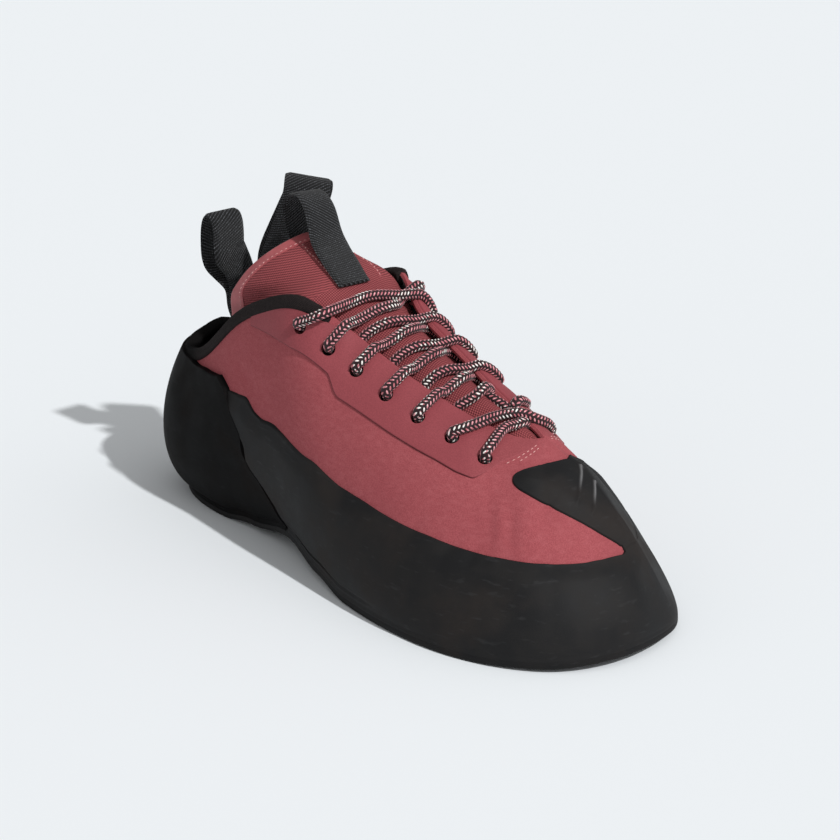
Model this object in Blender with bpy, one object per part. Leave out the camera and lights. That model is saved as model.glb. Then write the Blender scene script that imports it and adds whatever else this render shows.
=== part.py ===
# Climbing shoe for the right foot: +X runs from heel to toe, +Y to the inner (medial) side, +Z up.
import bmesh
import bpy
import numpy as np
from mathutils import Vector

# Driving sizes, in metres
LENGTH = 0.250
BALL_WIDTH = 0.096
INSTEP_HEIGHT = 0.100
HEEL_HEIGHT = 0.063
SOLE_THICKNESS = 0.0045
UPPER_WALL = 0.0020
RUBBER = 0.0018
GAP = 0.0004
INSOLE_THICKNESS = 0.0022
TONGUE_WALL = 0.0018
OVERLAY = 0.0007
BINDING = 0.0010
BINDING_WIDTH = 0.0050
LACE_RADIUS = 0.0020
LACE_SIDES = 5
EYELET_RADIUS = 0.0019
WEBBING = 0.0015

# The shoe's own coordinates start at the heel; the part's origin is under the middle of its box
MIDDLE = np.array([LENGTH / 2 - 0.0018, -0.0027, 0.0])
MM = 0.001

# Sections of the upper from the heel to the toe tip, one table a side.
# height: what top_z is a share of.  base and top: foot and top of the section.
# x is in percent of LENGTH, y in percent of BALL_WIDTH, the rest in percent of INSTEP_HEIGHT.
# flare and rise lead the wall off the sole, reach and drop lead it into the top line.
HEEL = HEEL_HEIGHT
INSTEP = INSTEP_HEIGHT
# name, height, base_x, base_y, top_x, top_y, top_z, flare, rise, reach, drop
LATERAL = [
    ("heel_back", HEEL, 3.6, -2.0, 3.6, -2.0, 100, 12, 6, 13, 24),
    ("heel_turn", HEEL, 6.8, -17.5, 5.6, -15.5, 96, 12, 6, 13, 24),
    ("heel_side", HEEL, 16.0, -26.0, 13.6, -23.0, 102, 9, 8, 11, 24),
    ("waist_rear", INSTEP, 26.4, -27.5, 24.0, -28.0, 84, 9, 10, 8, 26),
    ("waist", INSTEP, 37.6, -31.5, 32.8, -30.0, 96, 8, 12, 8, 28),
    ("mid", INSTEP, 48.0, -39.5, 40.8, -29.0, 101, 6, 14, 10, 28),
    ("ball_rear", INSTEP, 58.4, -46.5, 47.2, -19.0, 91, 4, 16, 18, 16),
    ("ball", INSTEP, 68.8, -50.0, 56.0, -13.5, 80, 4, 17, 20, 12),
    ("fore", INSTEP, 79.0, -49.0, 64.8, -8.0, 71, 3, 17, 22, 8),
    ("toe_side", INSTEP, 88.2, -41.5, 73.2, 0.0, 64, 3, 16, 24, 6),
    ("toe_turn", INSTEP, 94.2, -30.5, 76.4, 9.0, 63, 3, 16, 27, 0),
    ("toe_ridge", INSTEP, 97.4, -17.5, 82.4, 12.0, 55, 2, 15, 22, 0),
    ("toe_front", INSTEP, 98.5, -4.0, 88.0, 13.5, 42, 2, 14, 16, 0),
    ("toe_tip", INSTEP, 98.2, 9.0, 88.0, 13.5, 42, 2, 13, 13, 0),
]
MEDIAL = [
    ("heel_turn", HEEL, 6.8, 13.5, 5.6, 11.5, 96, 12, 6, 13, 24),
    ("heel_side", HEEL, 16.0, 22.0, 13.6, 19.0, 102, 9, 8, 11, 24),
    ("waist_rear", INSTEP, 26.4, 22.0, 24.0, 24.0, 84, 9, 10, 8, 26),
    ("waist", INSTEP, 36.8, 23.0, 32.8, 26.0, 96, 10, 12, 8, 28),
    ("mid", INSTEP, 46.4, 28.0, 40.8, 23.0, 101, 9, 14, 12, 26),
    ("ball_rear", INSTEP, 56.0, 35.5, 47.2, 15.5, 93, 7, 16, 21, 12),
    ("ball", INSTEP, 65.6, 41.5, 56.0, 12.5, 84, 4, 17, 22, 11),
    ("fore", INSTEP, 74.6, 44.5, 64.8, 11.5, 74, 3, 17, 22, 9),
    ("toe_side", INSTEP, 82.6, 43.5, 73.2, 10.5, 66, 3, 16, 19, 7),
    ("toe_turn", INSTEP, 89.2, 39.0, 76.4, 9.0, 63, 3, 14, 14, 0),
    ("toe_ridge", INSTEP, 93.8, 31.5, 82.4, 12.0, 55, 2, 12, 11, 0),
    ("toe_front", INSTEP, 96.8, 21.5, 88.0, 13.5, 42, 2, 11, 9, 0),
]
RING = LATERAL + MEDIAL[::-1]
SECTIONS = len(RING)
THROAT_END = 10
TOE_POLE = 12
THROAT_END_SLOPE = -0.42
TOE_POLE_SLOPE = -0.88
COLUMNS_PER_SECTION = 3
UPPER_LINES = 9

# Underside of the sole: place along the shoe and height off the floor, both in mm
SOLE_RISE = [
    (-5, 9), (6, 3), (18, 0), (50, 0), (70, 2.5), (98, 7), (125, 3), (146, 0), (210, 0), (232, 1), (250, 3),
]
# Edge of the sole: distance out from the upper in mm, share of the sole's thickness
SOLE_EDGE = [(2.2, 1.0), (2.5, 0.62), (1.8, 0.22), (-0.4, 0.0)]

# Tongue arches: section where its sides tuck in, crown x and y and z, half width of the crown, in mm
TONGUE_ARCHES = [
    (9.55, 187, 7.0, 60.0, 1), (9.0, 182, 5.0, 64.2, 1.5), (8.0, 161.5, 1.8, 73.4, 2.5),
    (7.0, 139.5, -0.5, 83.0, 3.5), (6.0, 118, -1.5, 93.6, 6), (5.3, 105, 0.0, 101.0, 13),
    (4.5, 96, 1.0, 106.3, 18), (3.6, 87, 0.5, 110.5, 18), (2.8, 79, -0.5, 113.2, 18),
    (2.5, 76, -0.5, 113.8, 18), (2.2, 72, -1.0, 114.6, 18),
]
# the loose outer side swells back and outward near the tongue's top: how far, and which way
TONGUE_BULGE = 0.0070
BULGE_WAY = np.array([-0.67, -0.74, 0.0])
# distances under the top line where the tucked sides of the tongue lie against the wall, in mm
TONGUE_TUCK = (13, 7, 1)
TONGUE_TOP = 2.50
TONGUE_FRONT = 9.25
TONGUE_BINDING = (2.475, 2.20)

# Top edge of the rand, outer then inner side: section from the heel, distance up from the sole in mm
RAND_EDGE_LATERAL = [
    (2.8, 51.5), (3.45, 51), (3.56, 46), (3.83, 42), (4.65, 40.4), (5.5, 39.4), (6.2, 38.3), (7.3, 35.8),
    (8.15, 34.8), (9, 33.7), (10.2, 32.8), (11.2, 32.1), (12.5, 31.2), (13, 30.5),
]
RAND_EDGE_MEDIAL = [
    (2.8, 51.5), (3.45, 51), (3.56, 46), (3.83, 42), (4.65, 40), (5.5, 38), (6.2, 36), (7.3, 33),
    (8.15, 31.5), (9, 30.5), (10.2, 29.5), (11.2, 29), (12.5, 29.5), (13, 30.5),
]
# Seam of rand and heel cup: straight from its foot to its top, in sections.
# The rand's columns stand straight from STRAIGHT on.
SEAM_FOOT = 4.05
SEAM_TOP = 2.80
STRAIGHT = 16 / 3
RAND_SEAM_COLUMNS = [2.80, 3.12, 3.45, 3.56, 3.83, 4.25, 4.67, 5.0]
CUP_FOOT = 4.02
CUP_TOP = 2.66
# Top edge of the heel cup: section, distance under the top line in mm
CUP_EDGE = [(0, 6.4), (1.8, 6.4), (2.2, 8.8), (2.66, 18.0)]

# Toe patch, one row a column: section from the heel, lower edge and upper edge as shares of the section.
# A lower edge of None lies along the rand.
PATCH_LATERAL = [
    (9.15, 0.732, 0.748), (9.26, 0.710, 0.775), (9.45, 0.690, 0.800), (9.75, 0.672, 0.834), (10.1, 0.663, 0.872),
    (10.4, 0.665, 0.925), (10.65, 0.672, 1.0), (11.0, 0.686, 1.0), (11.33, 0.703, 1.0), (11.67, 0.728, 1.0),
    (11.95, 0.747, 1.0), (12.15, 0.745, 1.0), (12.35, 0.728, 1.0), (12.55, None, 1.0), (12.75, None, 1.0),
]
PATCH_MEDIAL = [
    (8.7, None, 0.60), (8.9, None, 0.635), (9.2, None, 0.685), (9.5, None, 0.735), (9.8, None, 0.785),
    (10.1, None, 0.845), (10.4, None, 0.915), (10.65, None, 1.0), (11.0, None, 1.0), (11.33, None, 1.0),
    (11.67, None, 1.0), (12.0, None, 1.0), (12.33, None, 1.0), (12.67, None, 1.0), (13.0, None, 1.0),
]

# Eyestays: section from the heel, distance of the upper and lower edge under the top line in mm
EYESTAY = [
    (3.55, 6.0, 7.4), (3.85, 6.0, 10.2), (4.15, 6.0, 13.2), (4.45, 6.0, 16.2), (4.75, 6.0, 18.6), (5.05, 6.0, 19.6),
    (5.35, 6.0, 20.6), (5.66, 6.0, 21.6), (5.74, 3.0, 25.6), (5.83, 0.4, 27.6), (6.17, 0.4, 27.3), (6.5, 0.4, 26.9),
    (6.83, 0.4, 26.6), (7.17, 0.4, 26.3), (7.5, 0.4, 26.3), (7.83, 0.4, 26.3), (8.17, 0.4, 26.9), (8.45, 0.4, 26.2),
    (8.65, 0.4, 21), (8.9, 0.4, 14.5), (9.1, 0.4, 11.5), (9.3, 0.4, 9), (9.55, 0.4, 6.3), (9.8, 0.4, 4),
]
# Eyelets: section from the heel, distance under the top line in mm
EYELETS = [(4.98, 10.1), (5.62, 12.3), (6.20, 13.0), (6.80, 13.6), (7.43, 13.8), (8.05, 14.2), (8.60, 15.6)]
# Lace: steps along the throat from its eyelet and shares across the tongue, from the outer to the inner edge
OVER_ROUTE = [(-0.05, 0.32), (-0.01, 0.50), (0.0, 0.70)]
UNDER_ROUTE = [(0.12, 0.75), (0.20, 0.52), (0.22, 0.30)]
RIM_AHEAD = 0.22
LAST_RIM = 8.68
FIRST_RIM = 5.45
# Binding round the collar: section where it ends, on the outer and the inner side
BINDING_END = 17 / 3
BINDING_END_MEDIAL = 5

# Webbing loops, one row a bend of the path: x, y, z and width in mm, then the direction across the webbing
TONGUE_LOOP = [
    (104.2, -4.5, 102.7, 14, 0, 1, 0.06), (100, -4, 105.0, 14.5, 0, 1, 0.06), (94.5, -2.8, 108.0, 15, 0, 1, 0.06),
    (89, -1.5, 110.8, 15.5, 0, 1, 0.03), (84.4, -0.3, 113.9, 16, 0, 1, 0), (81.2, 0.5, 117.8, 16, 0, 1, -0.1),
    (78.6, 1, 123, 16, 0, 1, -0.2), (75.5, 1, 127.7, 16, 0, 1, -0.2), (70.8, 1, 129.8, 16, 0, 1, -0.1),
    (66.3, 1, 127.4, 16, 0, 1, 0), (65.3, 1, 121.5, 15, 0, 1, 0), (66.2, 0.5, 115, 12, 0, 1, 0),
    (68.0, 0, 110.4, 9, 0, 1, 0), (71.3, 0, 107.7, 8, 0, 1, 0), (75.5, 0, 107.2, 8, 0, 1, 0),
    (80.0, 0, 108.3, 8, 0, 1, 0),
]
HEEL_LOOP_REAR = [
    (19.9, 8.7, 55, 8, 0.89, 0.45, 0), (19.8, 8.6, 63, 8, 0.85, 0.50, 0), (18.8, 7.6, 72, 10, 0.60, 0.80, 0),
    (19.6, 6.0, 81, 11, 0.35, 0.94, 0), (16.3, 4.0, 87, 14, 0.30, 0.95, 0), (13.6, 1.6, 91.5, 14, 0.10, 1, 0),
    (15.0, -0.6, 99, 15, 0, 1, 0), (15.9, -1, 106.4, 15, 0, 1, 0), (17.6, -1, 111, 15, 0, 1, 0),
    (20.2, -1, 112.4, 15, 0, 1, 0), (23.0, -1, 110, 15, 0, 1, 0), (24.0, -1, 104, 15, 0, 1, 0),
    (23.9, -0.8, 98, 15, 0, 1, 0), (22.8, 2.0, 93.5, 14, 0.10, 1, 0), (22.6, 5.0, 88, 12, 0.30, 0.95, 0),
    (22.6, 6.2, 81, 11, 0.35, 0.94, 0), (21.4, 6.2, 73, 10, 0.60, 0.80, 0), (21.2, 6.5, 65, 8, 0.85, 0.50, 0),
    (21.2, 6.5, 57, 8, 0.89, 0.45, 0),
]
HEEL_LOOP_MEDIAL = [
    (33.0, 12.9, 57, 8, 0.95, 0.30, 0), (32.9, 12.9, 66, 8, 0.93, 0.35, 0), (31.5, 13.8, 80, 10, 0.85, 0.50, -0.05),
    (32.4, 16.2, 92, 16, 0.70, 0.69, -0.16), (38.2, 18.0, 104, 18, 0.70, 0.69, -0.16),
    (43.0, 21.0, 116, 18, 0.70, 0.69, -0.16), (46.8, 21.8, 124.4, 18, 0.70, 0.69, -0.16),
    (50.2, 18.4, 128.8, 18, 0.70, 0.69, -0.16), (53.6, 14.6, 124.6, 18, 0.70, 0.69, -0.16),
    (52.2, 12.8, 116, 18, 0.70, 0.69, -0.16), (46.4, 12.0, 104, 18, 0.70, 0.69, -0.16),
    (40.0, 11.2, 92, 16, 0.70, 0.69, -0.16), (35.5, 10.6, 80, 12, 0.75, 0.65, -0.1),
    (33.6, 10.2, 71, 9, 0.90, 0.40, 0), (33.3, 10.4, 65, 8, 0.95, 0.30, 0), (33.3, 10.5, 57, 8, 0.95, 0.30, 0),
]


def ease(share):
    clipped = np.clip(share, 0, 1)
    return clipped * clipped * (3 - 2 * clipped)


def unit(vectors):
    return vectors / np.linalg.norm(vectors, axis=-1, keepdims=True)


def section_values():
    scale = np.array([LENGTH, BALL_WIDTH, LENGTH, BALL_WIDTH, 1, INSTEP, INSTEP, INSTEP, INSTEP]) / 100
    values = []
    for name, height, *shares in RING:
        row = np.array(shares) * scale
        row[4] *= height
        values.append(row)
    return np.array(values)


def spline_bends(values, closed):
    # second derivatives of the cubic spline through the rows
    count = len(values)
    matrix = 4 * np.eye(count) + np.roll(np.eye(count), 1, 1) + np.roll(np.eye(count), -1, 1)
    turn = np.roll(values, -1, 0) - 2 * values + np.roll(values, 1, 0)
    if not closed:
        for end in (0, -1):
            matrix[end] = 0
            matrix[end, end] = 1
            turn[end] = 0
    return np.linalg.solve(matrix, 6 * turn)


def spline_at(values, bends, where):
    low = np.clip(np.floor(where).astype(int), 0, len(values) - 2)
    f = (where - low)[..., None]
    g = 1 - f
    straight = g * values[low] + f * values[low + 1]
    return straight + (g ** 3 - g) * bends[low] / 6 + (f ** 3 - f) * bends[low + 1] / 6


VALUES = section_values()
RING_BENDS = spline_bends(VALUES, closed=True)
CLOSED_VALUES = np.vstack([VALUES, VALUES[:1]])
CLOSED_BENDS = np.vstack([RING_BENDS, RING_BENDS[:1]])
# the top line runs from the throat's front end round the heel and back to it
TOP_LINE = VALUES[np.r_[SECTIONS - THROAT_END:SECTIONS, 0:THROAT_END + 1]][:, 2:5]
TOP_BENDS = spline_bends(TOP_LINE, closed=False)
RIDGE_START = VALUES[THROAT_END, 2:5]
RIDGE_STOP = VALUES[TOE_POLE, 2:5]


def sole_bottom(x):
    places, rises = np.array(SOLE_RISE).T * MM
    low = np.clip(np.searchsorted(places, x) - 1, 0, len(places) - 2)
    share = (x - places[low]) / (places[low + 1] - places[low])
    return rises[low] + ease(share) * (rises[low + 1] - rises[low])


def fold(u):
    # distance in sections from the heel, the same on both sides
    around = np.mod(u, SECTIONS)
    return np.minimum(around, SECTIONS - around)


def signed(u):
    around = np.mod(u, SECTIONS)
    return np.where(around > SECTIONS / 2, around - SECTIONS, around)


def section_at(u):
    return spline_at(CLOSED_VALUES, CLOSED_BENDS, np.mod(u, SECTIONS))


def outward(u):
    step = 0.001
    along = unit(section_at(u + step)[..., :2] - section_at(u - step)[..., :2])
    return np.stack([along[..., 1], -along[..., 0]], -1)


def ridge_share(u):
    return np.clip((fold(u) - THROAT_END) / (TOE_POLE - THROAT_END), 0, 1)


def ridge_at(u):
    # top of the vamp, from the throat's end to the pole on top of the toe
    f = ridge_share(u)[..., None]
    span = RIDGE_STOP - RIDGE_START
    run = np.linalg.norm(span[:2])
    point = RIDGE_START + f * span
    first = THROAT_END_SLOPE * run - span[2]
    last = TOE_POLE_SLOPE * run - span[2]
    point[..., 2:] += f * (1 - f) ** 2 * first - f ** 2 * (1 - f) * last
    return point


def top_at(u):
    edge = spline_at(TOP_LINE, TOP_BENDS, np.clip(signed(u) + THROAT_END, 0, 2 * THROAT_END))
    return np.where((fold(u) >= THROAT_END)[..., None], ridge_at(u), edge)


def foot_at(u):
    row = section_at(u)
    return np.stack([row[..., 0], row[..., 1], sole_bottom(row[..., 0]) + SOLE_THICKNESS], -1)


def surface(u, v):
    # outer face of the upper: u counts sections round from the heel, v runs from the sole to the top
    u, v = np.broadcast_arrays(np.asarray(u, float), np.asarray(v, float))
    row = section_at(u)
    out = outward(u)
    foot = foot_at(u)
    top = top_at(u)
    side = unit(foot[..., :2] - top[..., :2] + 0.010 * out)
    ahead = unit((RIDGE_STOP - RIDGE_START)[:2])
    slope = THROAT_END_SLOPE + ridge_share(u) * (TOE_POLE_SLOPE - THROAT_END_SLOPE)
    vamp = ease(fold(u) - THROAT_END + 1)
    low = foot.copy()
    low[..., :2] += row[..., 5:6] * out
    low[..., 2] += row[..., 6]
    high = top.copy()
    high[..., :2] += row[..., 7:8] * side
    high[..., 2] += vamp * row[..., 7] * (side @ ahead) * slope - (1 - vamp) * row[..., 8]
    w = v[..., None]
    g = 1 - w
    return g ** 3 * foot + 3 * g ** 2 * w * low + 3 * g * w ** 2 * high + w ** 3 * top


def normal(u, v):
    # outward from the skin, level along the foot line so that every layer ends on the sole
    u, v = np.broadcast_arrays(np.asarray(u, float), np.asarray(v, float))
    step = 0.001
    inside = np.clip(v, step, 0.98)
    across = surface(u + step, inside) - surface(u - step, inside)
    upward = surface(u, inside + step) - surface(u, inside - step)
    true = unit(np.cross(across, upward))
    level = np.concatenate([outward(u), np.zeros(u.shape + (1,))], -1)
    share = ease(v / 0.2)[..., None]
    return unit(share * true + (1 - share) * level)


def skin(u, v, out):
    return surface(u, v) + np.asarray(out)[..., None] * normal(u, v)


def share_at(u, distance, from_top):
    # share v of a section that lies a distance along the skin from its foot or its top
    steps = np.linspace(0, 1, 81)
    u = np.atleast_1d(u)
    lines = surface(u[:, None], steps[None, :])
    runs = np.cumsum(np.linalg.norm(np.diff(lines, axis=1), axis=-1), axis=1)
    runs = np.hstack([np.zeros((len(u), 1)), runs])
    wanted = runs[:, -1] - distance if from_top else np.broadcast_to(distance, u.shape)
    return np.array([np.interp(w, run, steps) for w, run in zip(wanted, runs)])


def material(name, colour, roughness):
    made = bpy.data.materials.new(name)
    made.use_nodes = True
    shader = made.node_tree.nodes["Principled BSDF"]
    shader.inputs["Base Color"].default_value = (*colour, 1)
    shader.inputs["Roughness"].default_value = roughness
    shader.inputs["Metallic"].default_value = 0.0
    made.diffuse_color = (*colour, 1)
    return made


def add_object(name, points, faces, finish):
    mesh = bpy.data.meshes.new(name)
    placed = np.asarray(points) - MIDDLE
    mesh.from_pydata([Vector(point) for point in placed], [], [list(face) for face in faces])
    work = bmesh.new()
    work.from_mesh(mesh)
    bmesh.ops.recalc_face_normals(work, faces=work.faces)
    work.to_mesh(mesh)
    work.free()
    mesh.shade_smooth()
    mesh.set_sharp_from_angle(angle=0.6)
    mesh.materials.append(finish)
    made = bpy.data.objects.new(name, mesh)
    bpy.context.scene.collection.objects.link(made)
    return made


def skin_key(u, v):
    # places that the two sides share: the ridge of the vamp and the pole of the toe
    k = float(fold(u))
    if v > 0.9999 and k >= TOE_POLE - 0.0001:
        return "pole"
    if v > 0.9999 and k >= THROAT_END - 0.0001:
        return ("ridge", round(k, 4))
    return (round(float(np.mod(u + 0.00001, SECTIONS)), 3), round(float(v), 5))


def shell(outer, inner, keys):
    # closed solid between two grids of points, with the places of one key welded
    numbers = {}
    corners = [[numbers.setdefault(key, len(numbers)) for key in line] for line in keys]
    count = len(numbers)
    points = np.zeros((2 * count, 3))
    for line, outer_line, inner_line in zip(corners, outer, inner):
        points[line] = outer_line
        points[np.array(line) + count] = inner_line
    faces = []
    for i in range(len(corners) - 1):
        for j in range(len(corners[0]) - 1):
            ring = [corners[i][j], corners[i + 1][j], corners[i + 1][j + 1], corners[i][j + 1]]
            loop = [n for m, n in enumerate(ring) if n != ring[m - 1]]
            if len(set(loop)) >= 3:
                faces.append(loop)
    edges = {(a, b) for loop in faces for a, b in zip(loop, loop[1:] + loop[:1])}
    rims = [(b, a, a + count, b + count) for a, b in edges if (b, a) not in edges]
    backs = [[n + count for n in reversed(loop)] for loop in faces]
    return points, faces + backs + sorted(rims)


def panel(name, u, v, low, high, finish):
    # layer of the shoe between two heights over the upper's skin
    keys = [[skin_key(a, b) for a, b in zip(*line)] for line in zip(u, v)]
    points, faces = shell(skin(u, v, np.full(u.shape, high)), skin(u, v, np.full(u.shape, low)), keys)
    return add_object(name, points, faces, finish)


def ring_columns():
    return np.arange(SECTIONS * COLUMNS_PER_SECTION) / COLUMNS_PER_SECTION


def make_upper(finish):
    columns = np.append(ring_columns(), SECTIONS)
    u, v = np.meshgrid(columns, np.linspace(0, 1, UPPER_LINES + 1), indexing="ij")
    return panel("upper", u, v, -UPPER_WALL, 0.0, finish)


def flat_solid(name, rings, finish):
    # closed solid through rings of points that pair up across the shoe, filled at both ends
    count = len(rings[0])
    points = np.vstack(rings)
    faces = []
    for low in range(len(rings) - 1):
        for i in range(count):
            j = (i + 1) % count
            faces.append([low * count + i, low * count + j, (low + 1) * count + j, (low + 1) * count + i])
    last = (len(rings) - 1) * count
    for start in (0, last):
        for i in range(count // 2):
            pair = [i, i + 1, (count - i - 1) % count, (count - i) % count]
            loop = [start + n for m, n in enumerate(pair) if n != pair[m - 1]]
            faces.append(loop)
    return add_object(name, points, faces, finish)


def foot_ring(out, share, lift):
    # the sole's outline moved outward, at a share of its thickness plus a lift
    u = ring_columns()
    row = section_at(u)
    flat = row[:, :2] + out * outward(u)
    height = sole_bottom(row[:, 0]) + share * SOLE_THICKNESS + lift
    return np.column_stack([flat, height])


def make_outsole(finish):
    rings = []
    for out, share in SOLE_EDGE:
        rings.append(foot_ring(out * MM, share, -GAP * share))
    return flat_solid("outsole", rings, finish)


def make_insole(finish):
    inset = -(UPPER_WALL + 2 * GAP)
    rings = [foot_ring(inset, 1.0, 0.0), foot_ring(inset, 1.0, INSOLE_THICKNESS)]
    return flat_solid("insole", rings, finish)


def tongue_depth(k):
    # the tongue lies under the wall, and deeper where the collar's binding wraps over its edge
    under_binding = UPPER_WALL + 3 * GAP + 0.0012
    under_wall = UPPER_WALL + 2 * GAP
    return under_binding + ease((k - 5.7) / 0.5) * (under_wall - under_binding)


def tongue_controls(k):
    # the arch over the foot: from the outer edge over the crown to the inner edge
    table = np.array(TONGUE_ARCHES)[::-1]
    crown_x, crown_y, crown_z, half = [np.interp(k, table[:, 0], column) for column in table[:, 1:].T * MM]
    ends = []
    for u in (k, SECTIONS - k):
        line = np.full(1, u)
        share = share_at(line, TONGUE_TUCK[-1] * MM, from_top=True)
        ends.append(skin(line, share, np.full(1, -tongue_depth(k)))[0])
    first = (8 * np.array([crown_x, crown_y, crown_z]) - ends[0] - ends[1]) / 6
    second = first.copy()
    first[1] -= half
    second[1] += half
    return np.array([ends[0], first, second, ends[1]])


def tongue_over(k, w):
    a, b, c, d = tongue_controls(k)
    w = np.asarray(w, float)[..., None]
    g = 1 - w
    bulge = (1 - ease((k - 2.6) / 1.6)) * ease((w - 0.05) / 0.12) * (1 - ease((w - 0.20) / 0.28))
    arch = g ** 3 * a + 3 * g ** 2 * w * b + 3 * g * w ** 2 * c + w ** 3 * d
    return arch + TONGUE_BULGE * bulge * BULGE_WAY


def tongue_arch(k):
    # the arch with its tucked sides
    sides = []
    for u in (k, SECTIONS - k):
        line = np.full(len(TONGUE_TUCK), u)
        shares = share_at(line, np.array(TONGUE_TUCK) * MM, from_top=True)
        sides.append(skin(line, shares, np.full(len(line), -tongue_depth(k))))
    over = tongue_over(k, np.linspace(0, 1, 11)[1:-1])
    return np.vstack([sides[0], over, sides[1][::-1]])


def tongue_grid(places):
    return np.array([tongue_arch(k) for k in places])


def grid_normals(grid):
    along = np.gradient(grid, axis=0)
    across = np.gradient(grid, axis=1)
    return unit(np.cross(across, along))


def tongue_layer(name, places, high, low, finish):
    grid = tongue_grid(places)
    out = grid_normals(grid)
    keys = [[(i, j) for j in range(grid.shape[1])] for i in range(grid.shape[0])]
    points, faces = shell(grid + high * out, grid + low * out, keys)
    return add_object(name, points, faces, finish)


def lined_panel(name, foot_u, top_u, foot_v, top_v, lines, gap, thickness, finish):
    # overlay whose columns run straight from a foot to a top on the skin
    share = np.linspace(0, 1, lines + 1)
    u = foot_u[:, None] + share * (top_u - foot_u)[:, None]
    v = foot_v[:, None] + share * (top_v - foot_v)[:, None]
    return panel(name, u, v, gap, gap + thickness, finish)


def rand_top(u):
    # share of each section where the rand ends
    lateral = np.interp(fold(u), *np.array(RAND_EDGE_LATERAL).T)
    medial = np.interp(fold(u), *np.array(RAND_EDGE_MEDIAL).T)
    return share_at(u, np.where(signed(u) >= 0, lateral, medial) * MM, from_top=False)


def make_rand(finish):
    straight = np.arange(STRAIGHT, SECTIONS / 2 + 0.01, 1 / COLUMNS_PER_SECTION)
    tops = np.concatenate([RAND_SEAM_COLUMNS, straight])
    lean = np.clip((STRAIGHT - tops) / (STRAIGHT - SEAM_TOP), 0, 1)
    feet = tops + lean * (SEAM_FOOT - SEAM_TOP)
    top_u = np.concatenate([tops, SECTIONS - tops[-2::-1]])
    foot_u = np.concatenate([feet, SECTIONS - feet[-2::-1]])
    return lined_panel("rand", foot_u, top_u, np.zeros(len(top_u)), rand_top(top_u), 5, GAP, RUBBER, finish)


def make_heel_cup(finish):
    tops = np.linspace(-CUP_TOP, CUP_TOP, 23)
    feet = tops * CUP_FOOT / CUP_TOP
    drops = np.interp(np.abs(tops), *np.array(CUP_EDGE).T)
    top_v = share_at(tops, drops * MM, from_top=True)
    return lined_panel("heel_cup", feet, tops, np.zeros(len(tops)), top_v, 8, 1.5 * GAP, RUBBER, finish)


def make_toe_patch(finish):
    rows = [(k, low, high) for k, low, high in PATCH_LATERAL]
    rows += [(SECTIONS - k, low, high) for k, low, high in PATCH_MEDIAL[::-1]]
    u = np.array([row[0] for row in rows])
    along_rand = rand_top(u) + 0.014
    low = np.array([edge if row[1] is None else row[1] for row, edge in zip(rows, along_rand)])
    high = np.array([row[2] for row in rows])
    return lined_panel("toe_patch", u, u, low, high, 4, GAP, RUBBER, finish)


def make_eyestay(name, side, finish):
    places, upper_edge, lower_edge = np.array(EYESTAY).T
    u = side(places)
    low = share_at(u, lower_edge * MM, from_top=True)
    high = share_at(u, upper_edge * MM, from_top=True)
    return lined_panel(name, u, u, low, high, 3, GAP, OVERLAY, finish)


def lateral(k):
    return k


def medial(k):
    return SECTIONS - k


def loft(name, rings, caps, finish):
    # closed solid through rings of points, with the end faces given as lists of corner numbers
    count = len(rings[0])
    faces = []
    for i in range(len(rings) - 1):
        for j in range(count):
            n = (j + 1) % count
            faces.append([i * count + j, i * count + n, (i + 1) * count + n, (i + 1) * count + j])
    last = (len(rings) - 1) * count
    for cap in caps:
        faces.append(cap)
        faces.append([last + n for n in cap])
    return add_object(name, np.vstack(rings), faces, finish)


def make_collar_binding(finish):
    # tape folded over the top line; each profile point: distance out of the skin, distance past the top line
    near = GAP
    far = GAP + BINDING
    back = -UPPER_WALL
    profile = [
        (far, -BINDING_WIDTH), (far, near / 2), (far - 0.0004, far - 0.0004), (back - far + 0.0004, far - 0.0004),
        (back - far, near / 2), (back - far, -BINDING_WIDTH), (back - near, -BINDING_WIDTH), (back - near, near),
        (near, near), (near, -BINDING_WIDTH),
    ]
    rings = []
    for u in np.arange(-BINDING_END_MEDIAL, BINDING_END + 0.01, 1 / COLUMNS_PER_SECTION):
        line = np.full(len(profile), u)
        out, past = np.array(profile).T
        shares = share_at(line, np.maximum(-past, 0), from_top=True)
        upward = unit(surface(line, np.ones(len(line))) - surface(line, np.full(len(line), 0.96)))
        rings.append(skin(line, shares, out) + np.maximum(past, 0)[:, None] * upward)
    caps = [[0, 1, 8, 9], [1, 2, 3, 4, 7, 8], [4, 5, 6, 7]]
    return loft("collar_binding", rings, caps, finish)


def smooth_path(points, steps):
    # curve through the points
    points = np.asarray(points, float)
    bends = spline_bends(points, closed=False)
    return spline_at(points, bends, np.linspace(0, len(points) - 1, (len(points) - 1) * steps + 1))


def path_tangents(path):
    return unit(np.gradient(path, axis=0))


def make_loop(name, rows, finish):
    path = smooth_path(rows, 2)
    centre = path[:, :3] * MM
    along = path_tangents(centre)
    side = path[:, 4:]
    side = unit(side - np.sum(along * side, 1)[:, None] * along)
    thick = np.cross(along, side)
    half_width = side * path[:, 3:4] * MM / 2
    half_thick = thick * WEBBING / 2
    rings = []
    for point, w, t in zip(centre, half_width, half_thick):
        rings.append(np.array([point - w - t, point + w - t, point + w + t, point - w + t]))
    return loft(name, rings, [[0, 1, 2, 3]], finish)


def tube(name, points, finish):
    path = smooth_path(points, 2)
    along = path_tangents(path)
    side = unit(np.cross(along, np.array([1.0, 0.0, 0.0])))
    over = np.cross(side, along)
    turns = np.arange(LACE_SIDES) * 2 * np.pi / LACE_SIDES
    rings = []
    for point, s, o in zip(path, side, over):
        rings.append(point + LACE_RADIUS * (np.cos(turns)[:, None] * s + np.sin(turns)[:, None] * o))
    return loft(name, rings, [list(range(LACE_SIDES))], finish)


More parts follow.
